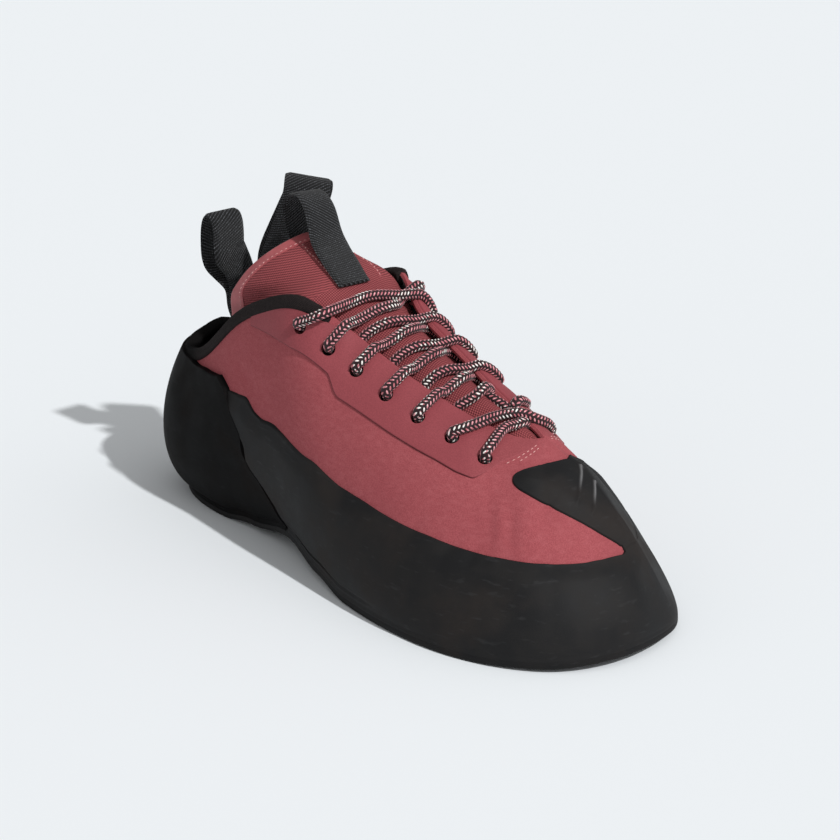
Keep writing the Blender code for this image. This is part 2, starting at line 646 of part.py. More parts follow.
def eyelet_point(number, side, out):
    k, drop = EYELETS[number]
    u = np.full(1, side(k))
    share = share_at(u, drop * MM, from_top=True)
    return skin(u, share, np.full(1, out))[0]


def rim_point(k, side, drop, out):
    # over the edge of the throat, a drop under it or past it
    u = np.full(1, side(k))
    share = share_at(u, max(drop, 0), from_top=True)
    upward = unit(surface(u, np.ones(1)) - surface(u, np.full(1, 0.96)))
    return (skin(u, share, np.full(1, out)) + max(-drop, 0) * upward)[0]


def on_tongue(k, w, lift):
    # centre of a lace that lies on the tongue
    step = 0.02
    across = tongue_over(k, w + step) - tongue_over(k, w - step)
    along = tongue_over(k - step, w) - tongue_over(k + step, w)
    return tongue_over(k, w) + (LACE_RADIUS + GAP + lift) * unit(np.cross(across, along))


def over_edge(number, k, side):
    # centres of a lace from its eyelet over the edge of the throat, clear of the binding that wraps the edge
    eyelet_k, drop = EYELETS[number]
    over = OVERLAY + 2 * GAP + LACE_RADIUS
    tape = BINDING - OVERLAY + 0.0011 if k < BINDING_END + 0.35 else 0.0004
    middle = (eyelet_k + k) / 2
    points = [
        eyelet_point(number, side, over), rim_point(middle, side, drop * MM * 0.5, over + 0.0005),
        rim_point(k, side, 0.001, over + tape),
    ]
    if k < BINDING_END + 0.35:
        points.append(rim_point(k, side, -0.0045, 0.0016))
    return points


def strand_over(number):
    # from under the outer edge of the throat, or from the top eyelet, straight across to the inner eyelet
    k = EYELETS[number + 1][0]
    points = [on_tongue(k - 0.08, 0.18, 0.0003)]
    if number == 0:
        points = over_edge(0, FIRST_RIM, lateral)
    for step, share in OVER_ROUTE:
        points.append(on_tongue(k + step, share, 0.0003))
    return points + over_edge(number + 1, k - 0.06, medial)[::-1]


def strand_under(number):
    # from beside the other strand at the inner edge, or from the top eyelet, across to the outer eyelet
    k = EYELETS[number + 1][0]
    points = [on_tongue(k + 0.03, 0.86, 0.0)]
    if number == 0:
        points = over_edge(0, FIRST_RIM, medial)
    ahead = min(RIM_AHEAD, LAST_RIM - k)
    for step, share in UNDER_ROUTE:
        points.append(on_tongue(k + step * ahead / RIM_AHEAD, share, 0.0))
    return points + over_edge(number + 1, k + ahead, lateral)[::-1]


def make_lace_cross(number, finish):
    crossing = tube("lace_cross_%d" % (number + 1), strand_over(number), finish)
    other = tube("lace_strand_%d" % (number + 1), strand_under(number), finish)
    combine(crossing, other, "UNION")
    return crossing


def combine(target, tool, operation):
    tool.hide_render = True
    tool.display_type = "WIRE"
    joined = target.modifiers.new("shape_" + tool.name, "BOOLEAN")
    joined.operation = operation
    joined.solver = "EXACT"
    joined.object = tool


def make_eyelet_punches(finish):
    # one round punch an eyelet, through overlay and upper
    turns = np.arange(8) * 2 * np.pi / 8
    points = []
    faces = []
    for side in (lateral, medial):
        for number in range(len(EYELETS)):
            deep = eyelet_point(number, side, -0.0032)
            high = eyelet_point(number, side, 0.0024)
            axis = unit(high - deep)
            first = unit(np.cross(axis, np.array([1.0, 0.0, 0.0])))
            second = np.cross(axis, first)
            circle = EYELET_RADIUS * (np.cos(turns)[:, None] * first + np.sin(turns)[:, None] * second)
            start = len(points)
            points.extend(deep + circle)
            points.extend(high + circle)
            for i in range(8):
                j = (i + 1) % 8
                faces.append([start + i, start + j, start + 8 + j, start + 8 + i])
            faces.append([start + i for i in range(8)])
            faces.append([start + 8 + i for i in range(8)])
    return add_object("eyelet_punches", points, faces, finish)


def main():
    for old in list(bpy.data.objects):
        bpy.data.objects.remove(old, do_unlink=True)
    suede = material("red_microsuede", (0.36, 0.065, 0.075), 0.85)
    overlay = material("red_overlay", (0.27, 0.055, 0.063), 0.70)
    rubber = material("sole_rubber", (0.018, 0.017, 0.017), 0.62)
    mesh = material("red_mesh", (0.26, 0.045, 0.055), 0.80)
    board = material("insole_board", (0.02, 0.02, 0.02), 0.90)
    tape = material("black_tape", (0.035, 0.038, 0.04), 0.75)
    pale = material("pale_tape", (0.55, 0.22, 0.22), 0.45)
    webbing = material("black_webbing", (0.030, 0.030, 0.032), 0.70)
    braid = material("lace_braid", (0.30, 0.08, 0.09), 0.70)
    make_outsole(rubber)
    make_insole(board)
    punches = make_eyelet_punches(suede)
    combine(make_upper(suede), punches, "DIFFERENCE")
    combine(make_eyestay("eyestay_lateral", lateral, overlay), punches, "DIFFERENCE")
    combine(make_eyestay("eyestay_medial", medial, overlay), punches, "DIFFERENCE")
    make_rand(rubber)
    make_heel_cup(rubber)
    make_toe_patch(rubber)
    make_collar_binding(tape)
    tongue_layer("tongue", np.linspace(TONGUE_FRONT, TONGUE_TOP, 16), 0.0, -TONGUE_WALL, mesh)
    tongue_layer("tongue_binding", np.linspace(*TONGUE_BINDING, 3), 0.0003, -TONGUE_WALL - 0.0003, pale)
    make_loop("tongue_loop", TONGUE_LOOP, webbing)
    make_loop("heel_loop_rear", HEEL_LOOP_REAR, webbing)
    make_loop("heel_loop_medial", HEEL_LOOP_MEDIAL, webbing)
    for number in range(len(EYELETS) - 1):
        make_lace_cross(number, braid)


main()
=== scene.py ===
# Looks of a climbing shoe for the right foot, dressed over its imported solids
import math
import bmesh
import bpy
import numpy as np
from mathutils import Matrix, Vector
from mathutils.kdtree import KDTree


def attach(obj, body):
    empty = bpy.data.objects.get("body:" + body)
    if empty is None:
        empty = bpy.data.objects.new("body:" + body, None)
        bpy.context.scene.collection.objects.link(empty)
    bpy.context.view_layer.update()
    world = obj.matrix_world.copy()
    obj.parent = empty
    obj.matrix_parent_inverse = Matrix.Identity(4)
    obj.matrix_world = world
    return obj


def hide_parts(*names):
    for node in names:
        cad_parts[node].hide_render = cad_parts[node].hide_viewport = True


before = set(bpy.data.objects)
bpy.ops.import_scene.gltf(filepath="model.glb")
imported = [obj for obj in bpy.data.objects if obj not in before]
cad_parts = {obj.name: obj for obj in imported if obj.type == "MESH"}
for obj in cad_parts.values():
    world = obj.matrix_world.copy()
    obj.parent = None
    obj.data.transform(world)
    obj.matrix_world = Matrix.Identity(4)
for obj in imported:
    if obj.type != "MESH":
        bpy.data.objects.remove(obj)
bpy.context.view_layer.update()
print("frame loaded:", len(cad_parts), "solids")

mm = 0.001

# The last: the sections of the solids, a little leaner at the inner toe.
# Shares are in percent of length, ball width, and heel or instep height.
shoe = {
    "length": 0.250, "ballWidth": 0.096, "instep": 0.100, "heel": 0.063, "heelSections": 3,
    "sole": 0.0045, "wall": 0.0020, "middle": (0.1232, -0.0027, 0.0), "sideLean": 0.010,
    "throatEnd": 10, "toePole": 12, "throatEndSlope": -0.42, "toePoleSlope": -0.88, "runSteps": 121,
    # shares where the outward way leaves the level, is shared over the ridge and gathers on the toe's pole
    "levelTo": 0.2, "slantTo": 0.98, "ridgeFrom": 0.88, "poleFrom": 0.75, "poleReach": 0.6,
    "poleSamples": (9, 0.9),
    # baseX, baseY, topX, topY, topZ, flare, rise, reach, drop
    "lateral": [
        (3.6, -2.0, 3.6, -2.0, 100, 12, 6, 13, 24), (6.8, -17.5, 5.6, -15.5, 96, 12, 6, 13, 24),
        (16.0, -26.0, 13.6, -23.0, 102, 9, 8, 11, 24), (26.4, -27.5, 24.0, -28.0, 84, 9, 10, 8, 26),
        (37.6, -31.5, 32.8, -30.0, 96, 8, 12, 8, 28), (48.0, -39.5, 40.8, -29.0, 101, 6, 14, 10, 28),
        (58.4, -46.5, 47.2, -19.0, 91, 4, 16, 18, 16), (68.8, -50.0, 56.0, -13.5, 80, 4, 17, 20, 12),
        (79.0, -49.0, 64.8, -8.0, 71, 3, 17, 22, 8), (88.2, -41.5, 73.2, 0.0, 64, 3, 16, 24, 6),
        (94.2, -30.5, 76.4, 9.0, 63, 3, 16, 27, 0), (97.4, -17.5, 82.4, 12.0, 55, 2, 15, 22, 0),
        (98.5, -4.0, 88.0, 13.5, 42, 2, 14, 16, 0), (98.2, 9.0, 88.0, 13.5, 42, 1, 8, 8, 0),
    ],
    "medial": [
        (6.8, 13.5, 5.6, 11.5, 96, 12, 6, 13, 24), (16.0, 22.0, 13.6, 19.0, 102, 9, 8, 11, 24),
        (26.4, 22.0, 24.0, 24.0, 84, 9, 10, 8, 26), (36.8, 23.0, 32.8, 26.0, 96, 10, 12, 8, 28),
        (46.4, 28.0, 40.8, 23.0, 101, 9, 14, 12, 26), (56.0, 35.5, 47.2, 15.5, 93, 7, 16, 21, 12),
        (65.6, 41.5, 56.0, 12.5, 84, 4, 17, 22, 11), (74.6, 44.5, 64.8, 11.5, 74, 3, 17, 22, 9),
        (82.6, 43.5, 73.2, 10.5, 66, 3, 14, 17, 7), (89.2, 39.0, 76.4, 9.0, 63, 2, 8, 12, 0),
        (93.8, 31.5, 82.4, 12.0, 55, 0, 4, 9, 0), (96.8, 21.5, 88.0, 13.5, 42, 0, 3, 7, 0),
    ],
    # place along the shoe and height of the sole's underside, in mm
    "soleRise": [
        (-5, 9), (6, 3), (18, 0), (50, 0), (70, 2.5), (98, 7), (125, 3), (146, 0), (210, 0), (232, 1),
        (250, 3),
    ],
    # the soft rim sags outside the heel and stands up inside it: section, negative inside, and rise in mm
    "rimRise": [
        (-3.2, 0), (-2.4, 1), (-1.6, 2.4), (-1.0, 3.2), (-0.5, 2.6), (0, -0.4), (0.4, -1.7), (0.8, -1.4),
        (1.6, 0),
    ],
}
tinyStep = 0.001  # in sections or shares, for slopes


def ease(share):
    clipped = np.clip(share, 0, 1)
    return clipped * clipped * (3 - 2 * clipped)


def ramp(value, start, run):  # eases from 0 at the start to 1 a run further on
    return ease((value - start) / run)


def within(value, first, last):  # eases in over the first start and run, and out over the last
    return ramp(value, *first) * (1 - ramp(value, *last))


def bezier(w, first, second, third, last):
    g = 1 - w
    return g ** 3 * first + 3 * g ** 2 * w * second + 3 * g * w ** 2 * third + w ** 3 * last


def unit(vectors):
    return vectors / np.maximum(np.linalg.norm(vectors, axis=-1, keepdims=True), 1e-12)


def lookUp(where, table):
    return np.interp(where, *np.array(table).T)


def splineBends(values, closed):  # second derivatives of the cubic spline through the rows
    count = len(values)
    matrix = 4 * np.eye(count) + np.roll(np.eye(count), 1, 1) + np.roll(np.eye(count), -1, 1)
    turn = np.roll(values, -1, 0) - 2 * values + np.roll(values, 1, 0)
    if not closed:
        for end in (0, -1):
            matrix[end] = 0
            matrix[end, end] = 1
            turn[end] = 0
    return np.linalg.solve(matrix, 6 * turn)


def splineAt(values, bends, where):
    low = np.clip(np.floor(where).astype(int), 0, len(values) - 2)
    f = (where - low)[..., None]
    g = 1 - f
    straight = g * values[low] + f * values[low + 1]
    return straight + (g ** 3 - g) * bends[low] / 6 + (f ** 3 - f) * bends[low + 1] / 6


def readSections():
    length, width, instep = shoe["length"], shoe["ballWidth"], shoe["instep"]
    rows = np.array(shoe["lateral"] + shoe["medial"][::-1])
    rows = rows * np.array([length, width, length, width, 1] + 4 * [instep]) / 100
    number = np.arange(len(rows))
    atHeel = np.minimum(number, len(rows) - number) < shoe["heelSections"]
    rows[:, 4] *= np.where(atHeel, shoe["heel"], instep)
    return rows


sectionRows = readSections()
ringSize = len(sectionRows)  # sections round the shoe, from the heel over the outer side to the toe and back
throatEnd = shoe["throatEnd"]
toePole = shoe["toePole"]
ringBends = splineBends(sectionRows, True)
closedRows = np.vstack([sectionRows, sectionRows[:1]])
closedBends = np.vstack([ringBends, ringBends[:1]])
topLine = sectionRows[np.r_[ringSize - throatEnd:ringSize, 0:throatEnd + 1]][:, 2:5]
topBends = splineBends(topLine, False)
ridgeStart = sectionRows[throatEnd, 2:5]
ridgeStop = sectionRows[toePole, 2:5]
middle = np.array(shoe["middle"])


def soleBottom(x):
    places, rises = np.array(shoe["soleRise"]).T * mm
    low = np.clip(np.searchsorted(places, x) - 1, 0, len(places) - 2)
    share = (x - places[low]) / (places[low + 1] - places[low])
    return rises[low] + ease(share) * (rises[low + 1] - rises[low])


def fold(u):  # sections from the heel, the same on both sides
    around = np.mod(u, ringSize)
    return np.minimum(around, ringSize - around)


def signed(u):
    around = np.mod(u, ringSize)
    return np.where(around > ringSize / 2, around - ringSize, around)


def sectionAt(u):
    return splineAt(closedRows, closedBends, np.mod(u, ringSize))


def outward(u):
    along = unit(sectionAt(u + tinyStep)[..., :2] - sectionAt(u - tinyStep)[..., :2])
    return np.stack([along[..., 1], -along[..., 0]], -1)


def ridgeShare(u):
    return np.clip((fold(u) - throatEnd) / (toePole - throatEnd), 0, 1)


def ridgeAt(u):  # top of the vamp, from the throat's end to the pole on top of the toe
    f = ridgeShare(u)[..., None]
    span = ridgeStop - ridgeStart
    run = np.linalg.norm(span[:2])
    point = ridgeStart + f * span
    first = shoe["throatEndSlope"] * run - span[2]
    last = shoe["toePoleSlope"] * run - span[2]
    point[..., 2:] += f * (1 - f) ** 2 * first - f ** 2 * (1 - f) * last
    return point


def topAt(u):
    edge = splineAt(topLine, topBends, np.clip(signed(u) + throatEnd, 0, 2 * throatEnd))
    edge[..., 2] += lookUp(signed(u), shoe["rimRise"]) * mm
    return np.where((fold(u) >= throatEnd)[..., None], ridgeAt(u), edge)


def surface(u, v):  # outer face of the upper: u counts sections round, v runs from the sole to the top
    u, v = np.broadcast_arrays(np.asarray(u, float), np.asarray(v, float))
    row = sectionAt(u)
    out = outward(u)
    foot = np.stack([row[..., 0], row[..., 1], soleBottom(row[..., 0]) + shoe["sole"]], -1)
    top = topAt(u)
    side = unit(foot[..., :2] - top[..., :2] + shoe["sideLean"] * out)
    ahead = unit((ridgeStop - ridgeStart)[:2])
    slope = shoe["throatEndSlope"] + ridgeShare(u) * (shoe["toePoleSlope"] - shoe["throatEndSlope"])
    vamp = ease(fold(u) - throatEnd + 1)
    low = foot.copy()
    low[..., :2] += row[..., 5:6] * out
    low[..., 2] += row[..., 6]
    high = top.copy()
    high[..., :2] += row[..., 7:8] * side
    high[..., 2] += vamp * row[..., 7] * (side @ ahead) * slope - (1 - vamp) * row[..., 8]
    return bezier(v[..., None], foot, low, high, top)


def slant(u, v):
    inside = np.clip(v, tinyStep, shoe["slantTo"])
    across = surface(u + tinyStep, inside) - surface(u - tinyStep, inside)
    upward = surface(u, inside + tinyStep) - surface(u, inside - tinyStep)
    return unit(np.cross(across, upward))


def normalAt(u, v):  # outward from the skin, level at the sole, shared by both sides along the vamp's ridge
    u, v = np.broadcast_arrays(np.asarray(u, float), np.asarray(v, float))
    level = np.concatenate([outward(u), np.zeros(u.shape + (1,))], -1)
    share = ease(v / shoe["levelTo"])[..., None]
    own = unit(share * slant(u, v) + (1 - share) * level)
    ridge = np.clip((v - shoe["ridgeFrom"]) / (1 - shoe["ridgeFrom"]), 0, 1) * (fold(u) >= throatEnd)
    ridge = ridge[..., None]
    both = unit((1 - ridge / 2) * own + ridge / 2 * slant(ringSize - u, v))
    count, high = shoe["poleSamples"]
    poleUp = unit(slant(np.linspace(toePole, ringSize - toePole, count), high).mean(0))
    near = ease((fold(u) - toePole + shoe["poleReach"]) / shoe["poleReach"])
    pole = (ramp(v, shoe["poleFrom"], 1 - shoe["poleFrom"]) * near)[..., None]
    return unit((1 - pole) * both + pole * poleUp)


def runsAt(u):
    steps = np.linspace(0, 1, shoe["runSteps"])
    lines = surface(u[:, None], steps[None, :])
    runs = np.cumsum(np.linalg.norm(np.diff(lines, axis=1), axis=-1), axis=1)
    return steps, np.hstack([np.zeros((len(u), 1)), runs])


def shareAt(u, distance, fromTop):  # share v at a distance along the skin from a section's foot or top
    u, distance = np.broadcast_arrays(np.atleast_1d(np.asarray(u, float)), distance)
    steps, runs = runsAt(u)
    wanted = runs[:, -1] - distance if fromTop else distance
    return np.array([np.interp(w, run, steps) for w, run in zip(wanted, runs)])


def lateral(k):
    return k


def medial(k):
    return ringSize - k


# Soft creases of the suede: from u and v to u and v, half width and depth in mm;
# a ridge where the depth is negative
creases = [
    (3.03, 0.805, 3.70, 0.65, 2.6, 0.75), (2.86, 0.86, 3.45, 0.80, 2.2, 0.35),
    (3.50, 0.78, 4.15, 0.66, 3.0, -0.35), (3.95, 0.50, 4.50, 0.60, 3.2, 0.30),
    (8.05, 0.36, 8.35, 0.50, 2.4, 0.40), (8.45, 0.36, 8.62, 0.48, 2.0, 0.32),
    (8.80, 0.37, 8.95, 0.47, 2.2, -0.30), (7.45, 0.40, 7.70, 0.52, 3.0, 0.28),
    (9.85, 0.78, 10.3, 0.93, 3.0, 0.35), (8.73, 0.67, 8.78, 0.47, 2.5, 0.50),
    (9.12, 0.66, 9.17, 0.45, 2.3, 0.50), (8.92, 0.66, 8.97, 0.46, 2.2, -0.35),
    (8.52, 0.61, 8.53, 0.48, 2.4, 0.30),
]
creases += [(ringSize - a, b, ringSize - c, d, wide, deep) for a, b, c, d, wide, deep in creases]

# Eyelets: section from the heel, distance under the top line in mm
eyelets = {
    "places": [
        (4.98, 10.1), (5.62, 12.3), (6.20, 13.0), (6.80, 13.6), (7.43, 13.8), (8.05, 14.2), (8.60, 15.6),
    ],
    "radius": 2.65 * mm, "dimple": 0.55 * mm, "dimpleReach": 3.4 * mm,
    "sides": 20, "punch": (-4 * mm, 3 * mm),  # how far the punch reaches in and out
}


def eyeletSpots():
    k, drop = np.array(eyelets["places"]).T
    u = np.concatenate([k, ringSize - k])
    v = shareAt(u, np.tile(drop, 2) * mm, True)
    return u, v, surface(u, v)


eyeletU, eyeletV, eyeletPoints = eyeletSpots()


def reliefAt(points):  # soft creases and the pull round the eyelets, in metres along the normal
    height = np.zeros(points.shape[:-1])
    count = 9
    for startU, startV, endU, endV, wide, deep in creases:
        line = surface(np.linspace(startU, endU, count), np.linspace(startV, endV, count))
        near = np.linalg.norm(points[..., None, :] - line, axis=-1)
        fade = np.sin(np.pi * (near.argmin(-1) + 0.8) / (count + 0.6))
        height -= deep * mm * fade * np.exp(-(near.min(-1) / (wide * mm)) ** 2)
    for spot in eyeletPoints:
        near = np.linalg.norm(points - spot, axis=-1)
        height -= eyelets["dimple"] * np.exp(-(near / eyelets["dimpleReach"]) ** 2)
    return height


def skin(u, v, out, relief=True):
    points = surface(u, v)
    height = np.asarray(out, float)
    if relief:
        height = height + reliefAt(points)
    return points + np.broadcast_to(height, points.shape[:-1])[..., None] * normalAt(u, v)


# Finishes
def paint(red, green, blue):  # a colour read off as 0 to 255, made linear
    shares = np.array([red, green, blue]) / 255
    linear = np.where(shares <= 0.04045, shares / 12.92, ((shares + 0.055) / 1.055) ** 2.4)
    return (*linear.tolist(), 1.0)


class Wire:  # one socket; sums and products of wires add Math nodes
    def __init__(self, graph, socket):
        self.graph = graph
        self.socket = socket

    def __add__(self, other):
        return self.graph.math("ADD", self, other)

    def __radd__(self, other):
        return self.graph.math("ADD", other, self)

    def __sub__(self, other):
        return self.graph.math("SUBTRACT", self, other)

    def __rsub__(self, other):
        return self.graph.math("SUBTRACT", other, self)

    def __mul__(self, other):
        return self.graph.math("MULTIPLY", self, other)

    def __rmul__(self, other):
        return self.graph.math("MULTIPLY", other, self)


class Graph:  # the nodes of a finish or of the sky
    def __init__(self, tree):
        self.tree = tree

    def node(self, kind, settings, sockets, output=0):
        made = self.tree.nodes.new(kind)
        for key, value in settings.items():
            setattr(made, key, value)
        for key, value in sockets.items():
            if isinstance(value, Wire):
                self.tree.links.new(value.socket, made.inputs[key])
            else:
                made.inputs[key].default_value = value
        return Wire(self, made.outputs[output])

    def math(self, operation, *values):
        return self.node("ShaderNodeMath", {"operation": operation}, dict(enumerate(values)))


class Finish(Graph):
    sockets = {"colour": "Base Color", "gloss": "Specular IOR Level", "sheen": "Sheen Weight",
               "sheenRough": "Sheen Roughness", "sheenTint": "Sheen Tint"}

    def __init__(self, name, roughness, **constants):
        self.material = bpy.data.materials.new(name)
        self.material.use_nodes = True
        super().__init__(self.material.node_tree)
        self.shader = self.tree.nodes["Principled BSDF"]
        self.shader.inputs["Roughness"].default_value = roughness
        for key, value in constants.items():
            self.shader.inputs[self.sockets[key]].default_value = value

    def feed(self, colour, height=None, rough=None):  # height in mm
        wires = {"Base Color": colour, "Roughness": rough}
        if height:
            sockets = {"Height": height, "Strength": 1.0, "Distance": mm}
            wires["Normal"] = self.node("ShaderNodeBump", {}, sockets)
        for key, wire in wires.items():
            if wire:
                self.tree.links.new(wire.socket, self.shader.inputs[key])
        return self.material

    def place(self):
        return self.node("ShaderNodeTexCoord", {}, {}, "Object")

    def parts(self, wire):
        split = self.node("ShaderNodeSeparateXYZ", {}, {0: wire}).socket.node
        return [Wire(self, socket) for socket in split.outputs]

    def cloth(self):  # metres across and along a sewn piece
        return self.parts(self.node("ShaderNodeUVMap", {"uv_map": "cloth"}, {}))[:2]

    def stored(self, name):
        return self.node("ShaderNodeAttribute", {"attribute_name": name}, {}, "Fac")

    def noise(self, grain, detail=2.0, stretch=None):  # grain is the size of a fleck in mm
        where = self.place()
        if stretch:
            where = self.node("ShaderNodeVectorMath", {"operation": "MULTIPLY"}, {0: where, 1: stretch})
        sockets = {"Vector": where, "Scale": 1 / (grain * mm), "Detail": detail}
        return self.node("ShaderNodeTexNoise", {}, sockets)

    def wave(self, wire, pitch):  # pitch in mm
        return self.math("SINE", wire * (2 * math.pi / (pitch * mm)))

    def between(self, wire, low=0.3, high=0.7):  # smooth step from 0 at low to 1 at high
        settings = {"interpolation_type": "SMOOTHSTEP"}
        return self.node("ShaderNodeMapRange", settings, {"Value": wire, "From Min": low, "From Max": high})

    def mix(self, factor, first, second):
        return self.node("ShaderNodeMix", {"data_type": "RGBA"}, {0: factor, 6: first, 7: second}, 2)

    def blend(self, wire, dark, light, low=0.3, high=0.7):
        return self.mix(self.between(wire, low, high), paint(*dark), paint(*light))

    def tint(self, colour, mask, tone):
        return self.mix(mask, colour, paint(*tone))


def suedeFinish():
    look = Finish("redMicrosuede", 0.88, sheen=0.2, sheenRough=0.5, sheenTint=paint(225, 140, 145),
                  gloss=0.2)
    nap = look.noise(0.4, 3.0)
    brushed = look.noise(3.0, 3.0, (1.0, 1.0, 2.0))
    patches = look.noise(22)
    colour = look.blend(nap, (139, 65, 70), (160, 80, 85))
    colour = look.tint(colour, look.between(brushed, 0.42, 0.72) * 0.22, (174, 98, 102))
    colour = look.tint(colour, look.between(patches, 0.40, 0.70) * 0.20, (130, 58, 64))
    return look.feed(colour, nap * 0.06 + brushed * 0.06 + patches * 0.20)


def stayFinish():
    look = Finish("redOverlay", 0.7, sheen=0.08, sheenTint=paint(215, 130, 136), gloss=0.25)
    grain = look.noise(0.4)
    patches = look.noise(18)
    front = look.stored("front")
    colour = look.blend(grain, (132, 60, 66), (146, 69, 75))
    colour = look.tint(colour, look.between(patches, 0.42, 0.70) * 0.25, (126, 55, 61))
    colour = look.mix(front, colour, look.blend(grain, (134, 62, 67), (152, 75, 80)))
    # painted shade: a dark line along the eyestay's lower edge, where the step's shadow falls
    edge = look.between(look.stored("edgeShadeGap"), 0.75, 0.2) * (1 - front)
    colour = look.tint(colour, edge * 0.8, (64, 21, 26))
    rough = look.between(patches) * 0.10 + 0.62
    return look.feed(colour, grain * 0.035 + patches * 0.12, rough)


# light is added to every tone; the heel cup's copy uses it for painted shade
def rubberFinish(name, light, gloss=0.11):
    def tone(*levels):
        return [level + light for level in levels]

    look = Finish(name, 0.6, gloss=gloss)
    grain = look.noise(0.3)
    cloud = look.noise(12, 3.0)
    wear = look.noise(30, 4.0)
    rub = look.noise(2.2, 2.0, (0.35, 0.35, 1.6))
    colour = look.blend(cloud, tone(28, 28, 29), tone(34, 33, 33), 0.35, 0.70)
    colour = look.tint(colour, look.between(wear, 0.48, 0.70) * 0.50, tone(48, 42, 39))
    colour = look.tint(colour, look.between(rub, 0.60, 0.76) * 0.30, tone(54, 54, 55))
    # painted highlight along the toe patch's ribs
    colour = look.tint(colour, look.stored("ribHighlight") * 0.75, (128, 127, 128))
    # painted shade: darker within 0.7 mm of each rubber piece's edges
    colour = look.tint(colour, look.between(look.stored("edgeShadeGap"), 0.7, 0.0) * 0.4, (13, 12, 12))
    rough = 0.54 + look.between(cloud) * 0.10 + look.between(wear, 0.5, 0.7) * 0.10
    return look.feed(colour, grain * 0.03 + cloud * 0.14 + rub * 0.03, rough)


def tapeFinish():
    look = Finish("blackTape", 0.85, gloss=0.1)
    across, along = look.cloth()
    ribs = look.wave(along, 0.85) * look.wave(across, 0.85)
    fuzz = look.noise(0.6)
    colour = look.blend(fuzz, (27, 23, 23), (40, 34, 34))
    colour = look.tint(colour, look.between(look.noise(10), 0.45, 0.7) * 0.4, (24, 21, 21))
    colour = look.tint(colour, look.between(ribs, -0.2, 0.8) * 0.35, (56, 49, 49))
    # painted shade: the tape near the heel goes near black
    colour = look.tint(colour, look.stored("heel") * 0.9, (9, 9, 9))
    return look.feed(colour, ribs * 0.07 + fuzz * 0.05)


def meshFinish():
    look = Finish("redMesh", 0.85, sheen=0.1, sheenTint=paint(210, 125, 130), gloss=0.2)
    across, along = look.cloth()
    ahead, _, up = look.parts(look.place())
    side = look.stored("sidePanel")
    rows = look.wave(up - ahead * 0.29, 0.85)  # level with the collar
    stitch = look.wave(ahead, 0.9)
    fine = look.wave(along + across * 0.6, 1.4) * look.wave(across - along * 0.6, 1.4)
    weave = side * (rows * 0.7 + stitch * 0.3) + (1 - side) * fine
    fuzz = look.noise(0.7)
    colour = look.blend(weave, (104, 45, 49), (161, 81, 84), -0.8, 0.9)
    colour = look.tint(colour, look.between(look.noise(14), 0.4, 0.7) * 0.25, (120, 52, 58))
    fleck = look.between(fine, 0.70, 0.95) * look.between(fuzz, 0.52, 0.62) * (1 - side)
    colour = look.tint(colour, fleck * 0.40, (190, 122, 124))
    # painted highlight along the raised seams of the side panels
    colour = look.tint(colour, look.between(look.stored("seamHighlightGap"), 0.8, 0.2) * 0.40, (172, 92, 95))
    return look.feed(colour, weave * 0.16 + fuzz * 0.06)


def paleFinish():
    look = Finish("paleTape", 0.5, sheen=0.1, gloss=0.35)
    weave = look.wave(look.cloth()[0], 0.6)
    soft = look.noise(6)
    colour = look.blend(soft, (152, 68, 73), (170, 84, 88), 0.35, 0.7)
    colour = look.tint(colour, look.between(weave, -0.4, 0.9) * 0.25, (186, 104, 106))
    return look.feed(colour, weave * 0.03 + soft * 0.2)


def webbingFinish():
    look = Finish("blackWebbing", 0.66, sheen=0.08, gloss=0.25)
    across, along = look.cloth()
    ribs = look.wave(along + across * 0.6, 1.2)
    threads = look.wave(across - along * 0.1, 0.8)
    weave = ribs * 0.75 + threads * 0.25
    # bright: painted highlights on the ribs
    bright = look.between(weave, 0.2, 0.8) * look.between(look.noise(0.7), 0.52, 0.65)
    # the weave is darker in its grooves and lighter on its ribs: painted shade and highlight
    colour = look.blend(weave, (3, 3, 4), (52, 53, 56), -0.1, 0.9)
    return look.feed(look.tint(colour, bright, (88, 90, 94)), weave * 0.20)


def liningFinish():
    look = Finish("blackLining", 0.9, sheen=0.2)
    weave = look.noise(0.8)
    colour = look.blend(weave, (17, 17, 18), (34, 33, 34))
    colour = look.tint(colour, look.between(look.noise(20), 0.4, 0.7) * 0.3, (44, 42, 42))
    return look.feed(colour, weave * 0.12)


def boardFinish():
    look = Finish("insoleBoard", 0.9)
    weave = look.noise(0.6)
    colour = look.blend(weave, (24, 23, 24), (44, 42, 42))
    colour = look.tint(colour, look.between(look.noise(25, 3.0), 0.45, 0.7) * 0.4, (58, 52, 50))
    return look.feed(colour, weave * 0.10)


def threadFinish(name, dark, light):
    look = Finish(name, 0.6, sheen=0.15)
    fuzz = look.noise(0.3)
    return look.feed(look.blend(fuzz, dark, light), fuzz * 0.04)


suede = suedeFinish()
overlay = stayFinish()
rubber = rubberFinish("randRubber", 0)
soleRubber = rubberFinish("soleRubber", -4)
# painted shade: the heel cup's rubber is a far darker copy of the rand's, for the heel side facing away from
# the light
heelRubber = rubberFinish("heelRubber", -23, 0.05)
tape = tapeFinish()
knit = meshFinish()
pale = paleFinish()
webbing = webbingFinish()
lining = liningFinish()
board = boardFinish()
redThread = threadFinish("redThread", (184, 112, 112), (226, 174, 170))
blackThread = threadFinish("blackThread", (26, 26, 28), (52, 52, 54))
print("finishes made")


# Meshes from grids of points
def gridFaces(rows, columns, start=0, wrap=False, flip=False):
    i, j = np.meshgrid(np.arange(rows if wrap else rows - 1), np.arange(columns - 1), indexing="ij")
    a = i * columns + j
    b = (i + 1) % rows * columns + j
    quads = np.stack([a, b, b + 1, a + 1], -1).reshape(-1, 4) + start
    return quads[:, ::-1] if flip else quads


def stripFaces(first, second):  # quads between two lines of corner numbers
    return np.stack([first[:-1], second[:-1], second[1:], first[1:]], -1)


